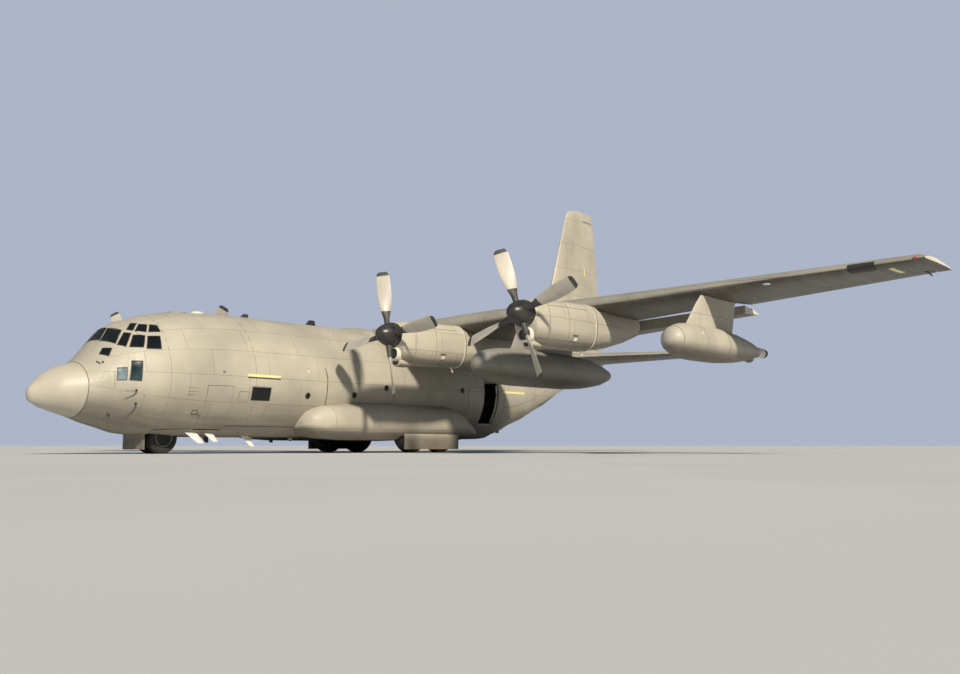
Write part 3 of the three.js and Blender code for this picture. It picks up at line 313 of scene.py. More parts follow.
def noise(tree, where, scale, detail=3.0, stretch=None):
    if stretch:
        where = wire(tree, "Mapping", Vector=where, Scale=stretch).outputs[0]
    return wire(tree, "TexNoise", Vector=where, Scale=scale, Detail=detail).outputs[0]


def surfaced(tree, surface, base, rough, relief, strength, depth):
    """Gives a surface its colour, roughness and relief."""
    tree.links.new(base, surface.inputs["Base Color"])
    tree.links.new(rough, surface.inputs["Roughness"])
    bump = wire(tree, "Bump", Strength=strength, Distance=depth, Height=relief)
    tree.links.new(bump.outputs[0], surface.inputs["Normal"])


def painted(name, light, dark, grime, layout="plan", panel=(0.9, 0.5), line=0.006, underside_dirt_and_shade=0.6, roughness=0.5,
            belly=None):
    """Weathered aircraft paint: worn tone, panel seams, streaks along the airflow, and darker undersides,
    partly soiling and partly painted shade. belly gives the two heights between which that darkening fades,
    and its strength."""
    finish, tree, surface, where = new_finish(name, roughness)
    x, y, z = wire(tree, "SeparateXYZ", Vector=where).outputs
    along, across = (x, y) if layout == "plan" else (y, z)
    if layout == "round":
        around = maths(tree, "ARCTAN2", x, maths(tree, "SUBTRACT", z, HULL_MIDDLE))
        across = maths(tree, "MULTIPLY", around, HULL_RADIUS)
    flat = wire(tree, "CombineXYZ", X=along, Y=across).outputs[0]
    seams = wire(
        tree, "TexBrick", {"offset": 0.37, "offset_frequency": 2}, Vector=flat, Color1=rgba(1.0),
        Color2=rgba(0.93), Mortar=rgba(0.56), Scale=1.0, Mortar_Size=line, Mortar_Smooth=0.4,
        Brick_Width=panel[0], Row_Height=panel[1],
    )
    broad = ramp(tree, noise(tree, where, 1.3, 5.0), 0.35, 0.65)
    fine = noise(tree, where, 38.0, 4.0)
    streaks = noise(tree, where, 1.0, 6.0, (9.0, 0.8, 9.0))
    base = colour_mix(tree, broad, dark, light)
    base = colour_mix(tree, ramp(tree, fine, 0.3, 0.7, 0.0, 0.12), base, dark)
    base = colour_mix(tree, ramp(tree, streaks, 0.5, 0.72, 0.0, 0.3), base, dark)
    base = colour_mix(tree, 0.85, base, seams.outputs[0], "MULTIPLY")
    # Faces that point down are darkened: partly soiling, partly painted shade.
    facing = wire(tree, "SeparateXYZ", Vector=tree.nodes.new("ShaderNodeNewGeometry").outputs["Normal"]).outputs[2]
    below = ramp(tree, facing, -0.1, -0.6, 0.0, underside_dirt_and_shade)
    # Darker towards the bottom of the fuselage, by height: partly soiling, partly painted shade.
    if belly:
        low, high, strength = belly
        height = maths(tree, "ADD", z, ramp(tree, streaks, 0.3, 0.7, -0.06, 0.06))
        below = maths(tree, "MAXIMUM", below, ramp(tree, height, low, high, strength, 0.0))
    dirt_and_shade = maths(tree, "MULTIPLY", below, ramp(tree, streaks, 0.3, 0.65, 0.8, 1.0))
    base = colour_mix(tree, dirt_and_shade, base, grime)
    rough = ramp(tree, fine, 0.3, 0.7, roughness - 0.08, roughness + 0.12)
    relief = maths(tree, "SUBTRACT", maths(tree, "MULTIPLY", fine, 0.06), seams.outputs[1])
    surfaced(tree, surface, base, rough, relief, 0.35, 0.004)
    return finish


def plain(name, light, dark, roughness, metallic=0.0, scale=18.0, grain=0.15, stretch=None, **constants):
    """A finish of two tones worn into each other, with a fine grain."""
    finish, tree, surface, where = new_finish(name, roughness, metallic, **constants)
    tone = noise(tree, where, scale, 5.0, stretch)
    fine = noise(tree, where, scale * 9, 3.0)
    base = colour_mix(tree, ramp(tree, tone, 0.35, 0.65), dark, light)
    rough = ramp(tree, tone, 0.3, 0.7, roughness - 0.06, roughness + 0.1)
    surfaced(tree, surface, base, rough, fine, grain, 0.002)
    return finish


# The third tone darkens faces that point down and the low belly: partly soiling, partly painted shade.
LIGHT, SHADE, GRIME_AND_SHADE = (0.47, 0.44, 0.36), (0.36, 0.34, 0.28), (0.07, 0.058, 0.038)
FINISH = {
    "fuselage": painted("fuselage_paint", LIGHT, SHADE, GRIME_AND_SHADE, "round", (1.02, 0.42), 0.005, belly=(0.2, 0.5, 0.75)),
    "tail": painted("tail_paint", LIGHT, SHADE, GRIME_AND_SHADE, "side", (0.8, 0.62)),
    "wing": painted(
        "wing_paint", (0.36, 0.34, 0.285), (0.27, 0.258, 0.22), (0.04, 0.036, 0.028), panel=(1.15, 0.36), underside_dirt_and_shade=0.88),
    "control": painted(
        "control_surface_paint", (0.37, 0.35, 0.295), (0.28, 0.265, 0.225), (0.045, 0.04, 0.03), panel=(0.55, 0.8),
        underside_dirt_and_shade=0.85),
    "cowl": painted(
        "cowl_paint", (0.53, 0.49, 0.4), (0.42, 0.395, 0.325), GRIME_AND_SHADE, "side", (0.62, 0.33), underside_dirt_and_shade=0.7, roughness=0.42),
    "store": painted(
        "store_paint", (0.3, 0.29, 0.255), (0.22, 0.215, 0.19), (0.055, 0.05, 0.038), "side", (0.85, 2.0), underside_dirt_and_shade=0.85),
    "pod": painted("pod_paint", (0.5, 0.465, 0.385), (0.39, 0.365, 0.305), GRIME_AND_SHADE, "side", (0.5, 2.0), underside_dirt_and_shade=0.85),
    "radome": plain("radome_finish", (0.46, 0.43, 0.355), (0.4, 0.375, 0.31), 0.42, scale=2.2, grain=0.05),
    "fairing": painted(
        "fairing_paint", (0.48, 0.45, 0.37), (0.37, 0.345, 0.285), GRIME_AND_SHADE, "side", (0.95, 0.4), underside_dirt_and_shade=0.8,
        belly=(0.2, 0.42, 0.8)),
    "spinner": plain("spinner_dark_finish", (0.045, 0.042, 0.04), 0.022, 0.34, 0.2, 9.0, 0.05),
    "cuff": plain("blade_cuff_rubber", (0.07, 0.066, 0.06), 0.035, 0.55, 0.0, 14.0, 0.1),
    "blade": plain("blade_paint", (0.5, 0.47, 0.4), (0.4, 0.375, 0.325), 0.42, 0.0, 5.0, 0.05, (1, 1, 0.4)),
    "tip": plain("blade_tip_dark", 0.06, 0.035, 0.5),
    "glass": plain(
        "cockpit_glass", (0.008, 0.01, 0.012), (0.003, 0.004, 0.005), 0.06, 0.0, 3.0, 0.0, Specular_IOR_Level=0.35),
    "pale_glass": plain(
        "lower_front_glass", (0.2, 0.27, 0.31), (0.08, 0.12, 0.15), 0.1, 0.0, 4.0, 0.0, Specular_IOR_Level=0.5),
    "side_glass": plain(
        "lower_side_glass", (0.03, 0.055, 0.06), (0.012, 0.024, 0.03), 0.08, 0.0, 5.0, 0.0, Specular_IOR_Level=0.4),
    "frame": plain("window_frame_paint", (0.36, 0.34, 0.3), (0.25, 0.24, 0.21), 0.5),
    # A dark finish for real seals and seams, also laid as painted shade: the chine lines, the cowl shadow ring, the
    # shadow under the front strip, the scoop shadow and, in part, the window rims.
    "seal": plain("seal_seam_and_shade_dark", (0.05, 0.046, 0.04), 0.025, 0.65),
    "soft_seam": plain("faint_seam", (0.21, 0.2, 0.175), (0.15, 0.14, 0.12), 0.6),
    "strip": plain("formation_strip_yellow", (0.78, 0.74, 0.36), (0.66, 0.62, 0.3), 0.45, scale=8.0),
    "pale": plain("pale_trim", (0.72, 0.68, 0.58), (0.58, 0.55, 0.47), 0.4),
    "white": plain("antenna_white", (0.78, 0.77, 0.73), (0.62, 0.61, 0.58), 0.4),
    # Black paint for real black parts, also laid as painted shade inside the intake, cooler and hose mouths.
    "black": plain("black_paint_and_painted_shade", 0.03, 0.015, 0.6),
    "rubber": plain("tyre_rubber", (0.035, 0.034, 0.033), 0.018, 0.82, 0.0, 20.0, 0.4),
    "hub": plain("wheel_hub_paint", (0.5, 0.49, 0.46), (0.3, 0.29, 0.27), 0.45, 0.1, 16.0),
    "steel": plain("gear_steel", (0.42, 0.43, 0.43), (0.26, 0.265, 0.265), 0.42, 0.55, 12.0),
    "chrome": plain("oleo_chrome", 0.72, 0.6, 0.16, 1.0, 20.0, 0.02),
    "engine": plain("engine_metal", (0.2, 0.195, 0.19), 0.1, 0.5, 0.8, 10.0),
    "exhaust": plain("burnt_exhaust_metal", (0.14, 0.11, 0.085), (0.045, 0.04, 0.036), 0.5, 0.85, 9.0),
    "inside": plain("interior_paint", (0.24, 0.27, 0.23), (0.16, 0.18, 0.155), 0.65, 0.0, 6.0),
    "floor": plain("hold_floor_metal", (0.2, 0.2, 0.19), (0.1, 0.1, 0.095), 0.5, 0.4, 12.0),
    "red_lens": plain("red_lamp_lens", (0.55, 0.02, 0.015), (0.35, 0.012, 0.01), 0.15),
    "green_lens": plain("green_lamp_lens", (0.02, 0.4, 0.12), (0.012, 0.25, 0.08), 0.15),
    "clear_lens": plain("clear_lamp_lens", (0.62, 0.64, 0.62), (0.4, 0.42, 0.42), 0.1, 0.3),
}
# The slot of each finish that isn't in the fuselage's own
SLOTS = {
    "wing_skin": "wing control", "store_skin": "store pod", "cowl_paint": "cowl", "engine_metal": "engine exhaust",
    "propeller_finish": "spinner cuff blade tip", "radome_finish": "radome", "interior_paint": "inside floor",
    "cockpit_glass": "glass side_glass pale_glass", "tyre_rubber": "rubber", "gear_steel": "hub steel chrome",
}
SLOT = {finish: slot for slot, finishes in SLOTS.items() for finish in finishes.split()}


# Making pieces
def nothing_selected():
    bpy.ops.object.select_all(action="DESELECT")


def pick(piece):
    nothing_selected()
    piece.select_set(True)
    bpy.context.view_layer.objects.active = piece


def added(name, data):
    """A new object in the scene."""
    made = bpy.data.objects.new(name, data)
    bpy.context.scene.collection.objects.link(made)
    return made


def edited(operator, **settings):
    """Runs an edit mode operator on the whole of the active piece."""
    bpy.ops.object.mode_set(mode="EDIT")
    bpy.ops.mesh.select_all(action="SELECT")
    operator(**settings)
    bpy.ops.object.mode_set(mode="OBJECT")


def finish_piece(piece, finish, body, angle=35):
    pick(piece)
    piece.data.materials.clear()
    piece.data.materials.append(FINISH[finish])
    bpy.ops.object.shade_smooth_by_angle(angle=math.radians(angle))
    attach(piece, body)
    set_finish(piece, SLOT.get(finish, "fuselage_paint"))
    return piece


def apply_modifier(piece, kind, **settings):
    pick(piece)
    made = piece.modifiers.new(kind.lower(), kind)
    for key, value in settings.items():
        setattr(made, key, value)
    bpy.ops.object.modifier_apply(modifier=made.name)


def loft(name, rings, finish, body="airframe", angle=35):
    """A closed form through rings of points: a circle is placed on the first ring and extruded through the rest."""
    nothing_selected()
    bpy.ops.mesh.primitive_circle_add(vertices=len(rings[0]), fill_type="NGON")
    piece = bpy.context.object
    piece.name = name
    bpy.ops.object.mode_set(mode="EDIT")
    bpy.ops.mesh.select_mode(type="FACE")
    bpy.ops.mesh.select_all(action="SELECT")
    shape = bmesh.from_edit_mesh(piece.data)
    for corner, point in zip(list(shape.faces)[0].verts, rings[0]):
        corner.co = point
    for ring in rings[1:]:
        bpy.ops.mesh.extrude_region_move()
        shape = bmesh.from_edit_mesh(piece.data)
        face = next(f for f in shape.faces if f.select)
        for corner, point in zip(face.verts, ring):
            corner.co = point
        bmesh.update_edit_mesh(piece.data)
    bpy.ops.mesh.select_all(action="SELECT")
    bpy.ops.mesh.remove_doubles(threshold=0.00005)
    bpy.ops.mesh.normals_make_consistent(inside=False)
    bpy.ops.object.mode_set(mode="OBJECT")
    return finish_piece(piece, finish, body, angle)


def turned(name, axis, centre, profile, finish, body="airframe", sides=40):
    """A turned form: profile rows are radius and place along the axis, in full-size millimetres."""
    rings = []
    for radius, along in profile:
        ring = []
        for c, s in circle(sides):
            c, s, t = max(radius, 0.5) * c / SCALE, max(radius, 0.5) * s / SCALE, along / SCALE
            ring.append(centre + Vector({"x": (t, c, s), "y": (c, t, s), "z": (c, s, t)}[axis]))
        rings.append(ring)
    return loft(name, rings, finish, body)


def stud(name, centre, sign, profile, finish, sides):
    """A turned form that points out to one side."""
    turned(name, "x", centre, [(radius, along * sign) for radius, along in profile], finish, sides=sides)


def heading(path, i):
    """The direction of a path at one of its points."""
    return (path[min(i + 1, len(path) - 1)] - path[max(i - 1, 0)]).normalized()


def tube(name, path, radius, finish, body="airframe", sides=12, end_radius=None):
    """A bent rod along points in model metres; radius in full-size millimetres."""
    rings = []
    for i, point in enumerate(path):
        ahead = heading(path, i)
        side = ahead.cross(UP)
        side = (side if side.length > 0.05 else ahead.cross(Vector((1, 0, 0)))).normalized()
        up = side.cross(ahead)
        r = blend(radius, radius if end_radius is None else end_radius, i / (len(path) - 1)) / SCALE
        rings.append([point + side * (r * c) + up * (r * s) for c, s in circle(sides)])
    return loft(name, rings, finish, body, 50)


def patch(name, across, along, point, finish, outward, thickness=3.0):
    """A thin plate laid on a surface: a grid whose points come from point(u, v), given a thickness outward."""
    nothing_selected()
    bpy.ops.mesh.primitive_grid_add(x_subdivisions=across, y_subdivisions=along, size=1)
    piece = bpy.context.object
    piece.name = name
    for corner in piece.data.vertices:
        corner.co = point(corner.co.x + 0.5, corner.co.y + 0.5)
    middle = piece.data.polygons[len(piece.data.polygons) // 2]
    if middle.normal.dot(outward) < 0:
        edited(bpy.ops.mesh.flip_normals)
    apply_modifier(piece, "SOLIDIFY", thickness=thickness / SCALE, offset=1.0)
    return finish_piece(piece, finish, "airframe")


def ribbon(name, path, normals, width, finish, thickness=4.0):
    """A narrow strip along points that lie on a surface."""
    rings = []
    for i, (point, normal) in enumerate(zip(path, normals)):
        side = normal.cross(heading(path, i)).normalized() * (width / 2 / SCALE)
        out, base = normal * (thickness / SCALE), normal * (-6 / SCALE)
        rings.append([point + side + base, point + side + out, point - side + out, point - side + base])
    return loft(name, rings, finish, angle=30)


hull_normal = level_normal(hull_level)


def skin_normal(point):
    return hull_normal(point) or Vector((point.x, 0, point.z - HULL_MIDDLE)).normalized()


def skin_ribbon(name, points, width, finish, thickness=4.0):
    return ribbon(name, points, [skin_normal(p) for p in points], width, finish, thickness)


def joined(name, pieces):
    """Several pieces made one, keeping their finishes."""
    nothing_selected()
    for piece in pieces:
        piece.select_set(True)
    bpy.context.view_layer.objects.active = pieces[0]
    bpy.ops.object.join()
    pieces[0].name = name
    return pieces[0]


def copied(piece, name, matrix, body):
    """A copy with its own mesh, moved by a matrix that keeps it at the origin as an object."""
    other = piece.copy()
    other.data = piece.data.copy()
    other.name = name
    bpy.context.scene.collection.objects.link(other)
    other.parent = None
    other.matrix_world = Matrix.Identity(4)
    other.data.transform(matrix)
    if matrix.determinant() < 0:
        other.data.flip_normals()
    for key in list(other.keys()):
        if key.startswith("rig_") and key != "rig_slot":
            del other[key]
    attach(other, body)
    return other


MIRROR = Matrix.Diagonal((-1, 1, 1, 1))


def dressed(node, finish, normal=None, angle=35):
    """A merged and smoothly shaded copy of a CAD node that stands for it."""
    source = nodes[node]
    piece = added(node + "_skin", source.data.copy())
    pick(piece)
    if piece.data.has_custom_normals:
        bpy.ops.mesh.customdata_custom_splitnormals_clear()
    edited(bpy.ops.mesh.remove_doubles, threshold=0.00002)
    finish_piece(piece, finish, source["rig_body"], angle)
    if normal is None:
        apply_modifier(piece, "WEIGHTED_NORMAL", keep_sharp=True)
    else:
        follow_form(piece, normal)
    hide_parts(node)
    return piece


def follow_form(piece, normal):
    """Shades the outer faces by the normals of the smooth form that the facets stand for."""
    mesh = piece.data
    shape = [normal(corner.co) for corner in mesh.vertices]
    shading = [Vector(n.vector) for n in mesh.corner_normals]
    for face in mesh.polygons:
        for loop in face.loop_indices:
            smooth = shape[mesh.loops[loop].vertex_index]
            if smooth is not None and smooth.dot(face.normal) > 0.75:
                shading[loop] = smooth
    mesh.normals_split_custom_set(shading)


def pale_faces(piece, chosen):
    """Adds the pale trim paint to a piece and gives it to the chosen faces."""
    piece.data.materials.append(FINISH["pale"])
    for face in piece.data.polygons:
        if chosen(face):
            face.material_index = 1


# The CAD nodes, each with its finish
def dress_airframe():
    for node in ("nose_shell", "centre_shell", "aft_shell", "crew_door", "paratroop_door_starboard",
                 "paratroop_door_port", "air_deflector_port", "air_deflector_starboard", "ramp", "aft_cargo_door",
                 "nose_gear_door"):
        dressed(node, "fuselage", hull_normal, 30)
    dressed("radome", "radome", hull_normal)
    for node in ("flight_deck", "hold_bulkhead"):
        dressed(node, "inside")
    dressed("cargo_floor", "floor")
    dressed("cockpit_glazing", "glass", hull_normal)
    for side, sign in SIDES:
        make_sponson(side, sign)
        dressed("main_gear_door_" + side, "fairing")
        wing = dressed("outer_wing_" + side, "wing", wing_normal, 30)
        pale_faces(wing, lambda face: abs(face.center.x) > 10.0 and abs(face.normal.x) > 0.6)
        for node in ("inner_flap_", "outer_flap_", "aileron_", "elevator_"):
            surface = dressed(node + side, "control", None, 30)
            pale_faces(surface, lambda face: "flap" in node and abs(face.normal.x) > 0.95)
        dressed("main_gear_legs_" + side, "steel")
    dressed("centre_wing", "wing", wing_normal, 30)
    dressed("tailplane", "wing", None, 30)
    dressed("fin", "tail", None, 30)
    dressed("rudder", "tail", None, 30)
    dressed("nose_leg", "steel")
    dressed("nose_fork", "chrome")
    for name, x, thrust, _ in ENGINES:
        dressed("nacelle_" + name, "cowl", nacelle_normal(x, thrust), 30)
        dressed("engine_" + name, "engine")


def oval(x, station, z, half_width, half_height, power=0.85, sides=32):
    """A ring across the airflow. Its power makes it anything from a square (0) to an ellipse (1)."""
    ring = []
    for c, s in circle(sides):
        across, up = squared(c, s, power)
        ring.append(place(x + half_width * across, station, z + half_height * up))
    return ring


# The undercarriage fairings' rounded ends: station, outer edge, top, bottom
SPONSON_ENDS = {
    "nose": [(8252, 1930, 1030, 880), (8262, 2010, 1110, 830), (8300, 2130, 1200, 770), (8370, 2260, 1310, 700),
             (8450, 2355, 1385, 640), (8600, 2440, 1460, 570), (8800, 2510, 1530, 510), (9004, 2550, 1570, 480)],
    "tail": [(16396, 2430, 1110, 500), (16560, 2360, 1030, 522), (16700, 2285, 960, 548), (16800, 2210, 890, 580),
             (16870, 2120, 820, 620), (16898, 2020, 770, 660)],
}


def make_sponson(side, sign):
    """The fairing's hollow middle with its open ends cut back, and a rounded nose and tail over them."""
    shell = dressed("sponson_" + side, "fairing")
    pick(shell)
    for station, front in ((9000, True), (16400, False)):
        edited(bpy.ops.mesh.bisect, plane_co=place(0, station, 0), plane_no=(0, 1, 0), clear_inner=front,
               clear_outer=not front)
    follow_form(shell, level_normal(sponson_level))
    for end, rows in SPONSON_ENDS.items():
        rings = []
        for station, outer, top, bottom in rows:
            middle, half = sign * (outer + SPONSON_ROOT) / 2, sign * (outer - SPONSON_ROOT) / 2
            rings.append(oval(middle, station, (top + bottom) / 2, half, (top - bottom) / 2, 2 / SPONSON_BEND, 36))
        loft(f"sponson_{end}_{side}", rings, "fairing")


# Propellers: radius and place along the axis; then radius, chord, thickness and pitch in degrees
SPINNER = [(6, -480), (60, -470), (125, -443), (200, -370), (272, -265), (328, -135), (366, -15), (388, 95),
           (395, 185), (392, 240), (380, 259), (150, 259), (120, 262), (120, 539)]
BLADE = [
    [250, 172, 172, 62], [480, 180, 176, 60], [560, 210, 165, 58], [680, 275, 130, 55], [800, 340, 95, 52],
    [1000, 405, 74, 48], [1250, 460, 56, 43], [1550, 462, 42, 39], [1850, 440, 32, 35], [1980, 390, 26, 34],
    [2035, 320, 20, 33], [2057, 240, 14, 33],
]
BLADE_PARTS = [
    ("cuff", (250, 330, 480, 560, 680, 760)), ("blade", (758, 900, 1050, 1250, 1550, 1850, 1930)),
    ("tip", (1928, 1980, 2035, 2057)),
]


def blade_ring(radius, turn):
    chord, thickness, pitch = between(BLADE, radius)
    cos, sin = math.cos(math.radians(pitch)), math.sin(math.radians(pitch))
    ring = []
    for c, s in circle(20):
        p, q = c * chord / SCALE / 2, -s * thickness / SCALE / 2
        q *= 1 - 0.35 * c * min(1, max(0, (radius - 560) / 400))
        ring.append(turn @ Vector((p * cos - q * sin, p * sin + q * cos, radius / SCALE)))
    return ring


def make_propellers():
    pieces = [turned("spinner", "y", Vector(), SPINNER, "spinner", sides=48)]
    for quarter in range(4):
        turn = Matrix.Rotation(quarter * math.pi / 2, 3, "Y")
        for part, radii in BLADE_PARTS:
            pieces.append(loft(f"{part}_{quarter}", [blade_ring(r, turn) for r in radii], part))
    for i in range(12):
        a = math.radians(i * 30 + 15)
        spot = Vector((math.cos(a) * 386, 70, math.sin(a) * 386)) / SCALE
        pieces.append(turned(f"fastener_{i}", "y", spot, [(2, -14), (11, -10), (11, 14)], "steel", sides=8))
    master = joined("propeller_master", pieces)
    for name, x, thrust, phase in ENGINES:
        matrix = Matrix.Translation(place(x, 9200, thrust)) @ Matrix.Rotation(math.radians(-phase), 4, "Y")
        copy = copied(master, f"propeller_{name}_dressed", matrix, "propeller_" + name)
        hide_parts("propeller_" + name)
    bpy.data.objects.remove(master)


# Wheels: radius and place across, as shares of the radius and of the half width
WHEEL_INSIDE = [(0.13, 0.62), (0.26, 0.62), (0.3, 0.35), (0.5, 0.35), (0.55, 0.8)]
TYRE_SIDE = [(0.575, 0.86), (0.6, 0.9), (0.7, 0.985), (0.77, 1), (0.86, 0.96), (0.94, 0.83), (0.985, 0.66), (1, 0.55)]
HUB = [(0.575, 0.84), (0.57, 0.9), (0.54, 0.88), (0.52, 0.7), (0.5, 0.4), (0.4, 0.36), (0.27, 0.45), (0.23, 0.5),
       (0.19, 0.72), (0.05, 0.74)]
MAIN_WHEELS = (("front", 13130), ("rear", 14650))
NOSE_WHEELS = 4110


def wheel_profile(radius, half):
    """Radius and place across, from the inner face over the grooved tread to the outer face."""
    tread = []
    for groove in (-0.33, 0.0, 0.33):
        at = groove * half
        tread += [(radius, at - 15), (radius - 13, at - 11), (radius - 13, at + 11), (radius, at + 15)]
    inner = [(r * radius, -w * half) for r, w in WHEEL_INSIDE + TYRE_SIDE]
    return inner + tread + [(r * radius, w * half) for r, w in reversed(TYRE_SIDE)]


def make_wheel(name, node, centre, radius, half, outward):
    tyre = turned(name + "_tyre", "x", Vector(), wheel_profile(radius, half), "rubber", node, 64)
    hub = turned(name + "_hub", "x", Vector(), [(r * radius, w * half) for r, w in HUB], "hub", node, 64)
    parts = [tyre, hub]
    for i, (c, s) in enumerate(circle(10)):
        spot = Vector((0.38 * half, 0.44 * radius * c, 0.44 * radius * s)) / SCALE
        parts.append(turned(f"{name}_nut_{i}", "x", spot, [(20, -8), (20, 14), (14, 20)], "steel", node, 6))
    whole = joined(name, parts)
    whole.data.transform(Matrix.Translation(centre) @ Matrix.Scale(outward, 4, Vector((1, 0, 0))))
    if outward < 0:
        whole.data.flip_normals()
    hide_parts(node)


def make_wheels():
    for side, sign in SIDES:
        for end, station in MAIN_WHEELS:
            node = f"main_wheel_{side}_{end}"
            make_wheel(node + "_dressed", node, place(sign * 2175, station, 710), 710, 255, sign)
    for side, sign in SIDES:
        make_wheel("nose_wheel_" + side, "nose_wheels", place(sign * 275, NOSE_WHEELS, 495), 495, 165, sign)
    axle = [place(x, NOSE_WHEELS, 495) for x in (-250, 250)]
    tube("nose_axle_bar", axle, 44, "chrome", "nose_wheels", 24)


# Cockpit windows: corners in full-size metres (out, station, height) on the port side
PANES = [
    ("windshield_side", [(.36, 1.92, 3.275), (.24, 2.214, 3.674), (.72, 2.377, 3.599), (.904, 2.09, 3.174)]),
    ("windshield_quarter", [(.96, 2.114, 3.141), (.84, 2.381, 3.522), (.992, 2.525, 3.509), (1.168, 2.265, 3.08)]),
    ("side_front", [(1.224, 2.346, 3.077), (1.072, 2.54, 3.442), (1.256, 2.818, 3.441), (1.448, 2.667, 3.077)]),
    ("side_rear", [(1.504, 2.732, 3.044), (1.296, 2.88, 3.431), (1.408, 3.214, 3.455), (1.632, 3.14, 3.056)]),
    ("eyebrow_front", [(.8, 2.485, 3.618), (.656, 2.702, 3.84), (.752, 2.843, 3.844), (.952, 2.6, 3.595)]),
    ("eyebrow_middle", [(1.016, 2.633, 3.568), (.816, 2.875, 3.821), (.944, 3.069, 3.813), (1.176, 2.901, 3.568)]),
    ("eyebrow_rear", [(1.2, 2.966, 3.57), (.976, 3.132, 3.817), (1.088, 3.301, 3.8), (1.312, 3.288, 3.595)]),
    ("small_low", [(.696, 1.713, 2.847), (.656, 1.837, 3.04), (.904, 1.984, 3.033), (.968, 1.857, 2.796)]),
    ("chin_front", [(1.296, 1.946, 2.101), (1.256, 1.978, 2.445), (1.384, 2.203, 2.468), (1.416, 2.18, 2.107)]),
    ("chin_rear", [(1.456, 2.253, 2.108), (1.4, 2.324, 2.664), (1.568, 2.582, 2.668), (1.608, 2.535, 2.092)]),
]


def onto_skin(point, lift=0.0):
    """Moves a point straight out from the section's middle until it is on the fuselage skin."""
    x, station, z = measures(point)
    middle = between(HULL, station)[1]
    level = hull_level(x, station, z)
    on = place(x / level, station, middle + (z - middle) / level)
    return on + skin_normal(on) * (lift / SCALE)


def pane(name, corners, finish):
    """A cockpit window: glass set a little into the skin, and a dark rim round it, partly a rubber gasket and partly
    painted shade of the recess.
    """
    points = [place(*(v * 1000 for v in corner)) for corner in corners]

    def at(u, v):
        low = points[0].lerp(points[3], u)
        high = points[1].lerp(points[2], u)
        return onto_skin(low.lerp(high, v), -16)

    centre = onto_skin(sum(points, Vector()) / 4)
    glass = patch(name + "_pane", 4, 4, at, finish, skin_normal(centre), 6)
    rims = []
    for i in range(4):
        a, b = points[i], points[(i + 1) % 4]
        path = [onto_skin(a.lerp(b, t / 5)) for t in range(6)]
        path[0] += (path[0] - path[1]).normalized() * 0.004
        path[-1] += (path[-1] - path[-2]).normalized() * 0.004
        rims.append(skin_ribbon(f"{name}_rim_{i}", path, 22, "seal"))
    return glass, joined(name + "_rim", rims)


def make_cockpit_windows():
    for name, corners in PANES:
        finish = {"chin_front": "pale_glass", "chin_rear": "side_glass"}.get(name, "glass")
        for piece in pane(name + "_port", corners, finish):
            copied(piece, piece.name.replace("_port", "_starboard"), MIRROR, "airframe")
    pane("windshield_centre", [(.3, 1.93, 3.305), (.18, 2.22, 3.69), (-.18, 2.22, 3.69), (-.3, 1.93, 3.305)], "glass")


def outline(name, front, back, low, high, width, finish, side=1, thickness=4.0, steps=6, lift=0.0):
    """A thin frame laid on the fuselage side."""
    corners = [(front, low), (front, high), (back, high), (back, low)]
    parts = []
    for i, (station, z) in enumerate(corners):
        on, up = corners[(i + 1) % 4]
        shares = [t / steps for t in range(steps + 1)]
        path = [hull_side(blend(station, on, share), blend(z, up, share), side, lift) for share in shares]
        parts.append(skin_ribbon(f"{name}_{i}", path, width, finish, thickness))
    joined(name, parts)


def plate(name, front, back, low, high, finish, side, thickness, lift=1.0):
    """A thin plate laid on the fuselage side."""
    def at(u, v):
        return hull_side(blend(front, back, u), blend(low, high, v), side, lift)
    outward = skin_normal(hull_side((front + back) / 2, (low + high) / 2, side))
    patch(name, 8, 6, at, finish, outward, thickness)


def porthole(name, station, z, radius, side=1):
    """A round window: a raised rim with dark glass set into it."""
    centre = hull_side(station, z, side)
    normal = skin_normal(centre)
    aim = normal.to_track_quat("Z", "Y").to_matrix().to_4x4()
    ring = [(radius, -14), (radius, 8), (radius * 0.9, 13), (radius * 0.76, 13), (radius * 0.72, 4)]
    rim = turned(name + "_rim", "z", Vector(), ring, "seal", sides=32)
    disc = [(radius * 0.73, 0), (radius * 0.73, 6), (radius * 0.5, 9)]
    glass = turned(name + "_glass", "z", Vector(), disc, "glass", sides=32)
    for piece in (rim, glass):
        piece.data.transform(Matrix.Translation(centre) @ aim)
    joined(name, [rim, glass])


def blade_antenna(name, foot, height, length, finish, lean, thickness, up=None):
    """A thin swept blade standing on a surface; foot in model metres, sizes in full-size millimetres."""
    up = up or skin_normal(foot)
    aft = Vector((0, 1, 0))
    aft = (aft - up * aft.dot(up)).normalized()
    side = up.cross(aft)
    rings = []
    for share in (-0.06, 0.0, 0.3, 0.6, 0.85, 0.97, 1.0):
        chord = length * blend(1.0, 0.55, max(0, share)) * (0.86 if share == 1.0 else 1) / SCALE
        half = thickness * blend(1.0, 0.6, max(0, share)) / 2 / SCALE
        middle = foot + up * (share * height / SCALE) + aft * (lean * height * share / SCALE)
        rings.append([middle + aft * (chord / 2 * c) + side * (half * s * (1 - 0.3 * c)) for c, s in circle(14)])
    return loft(name, rings, finish, angle=45)


def side_path(sign, rows):
    """Points beside the fuselage: rows are station, height and distance off the skin."""
    return [hull_side(station, z, sign, lift) for station, z, lift in rows]


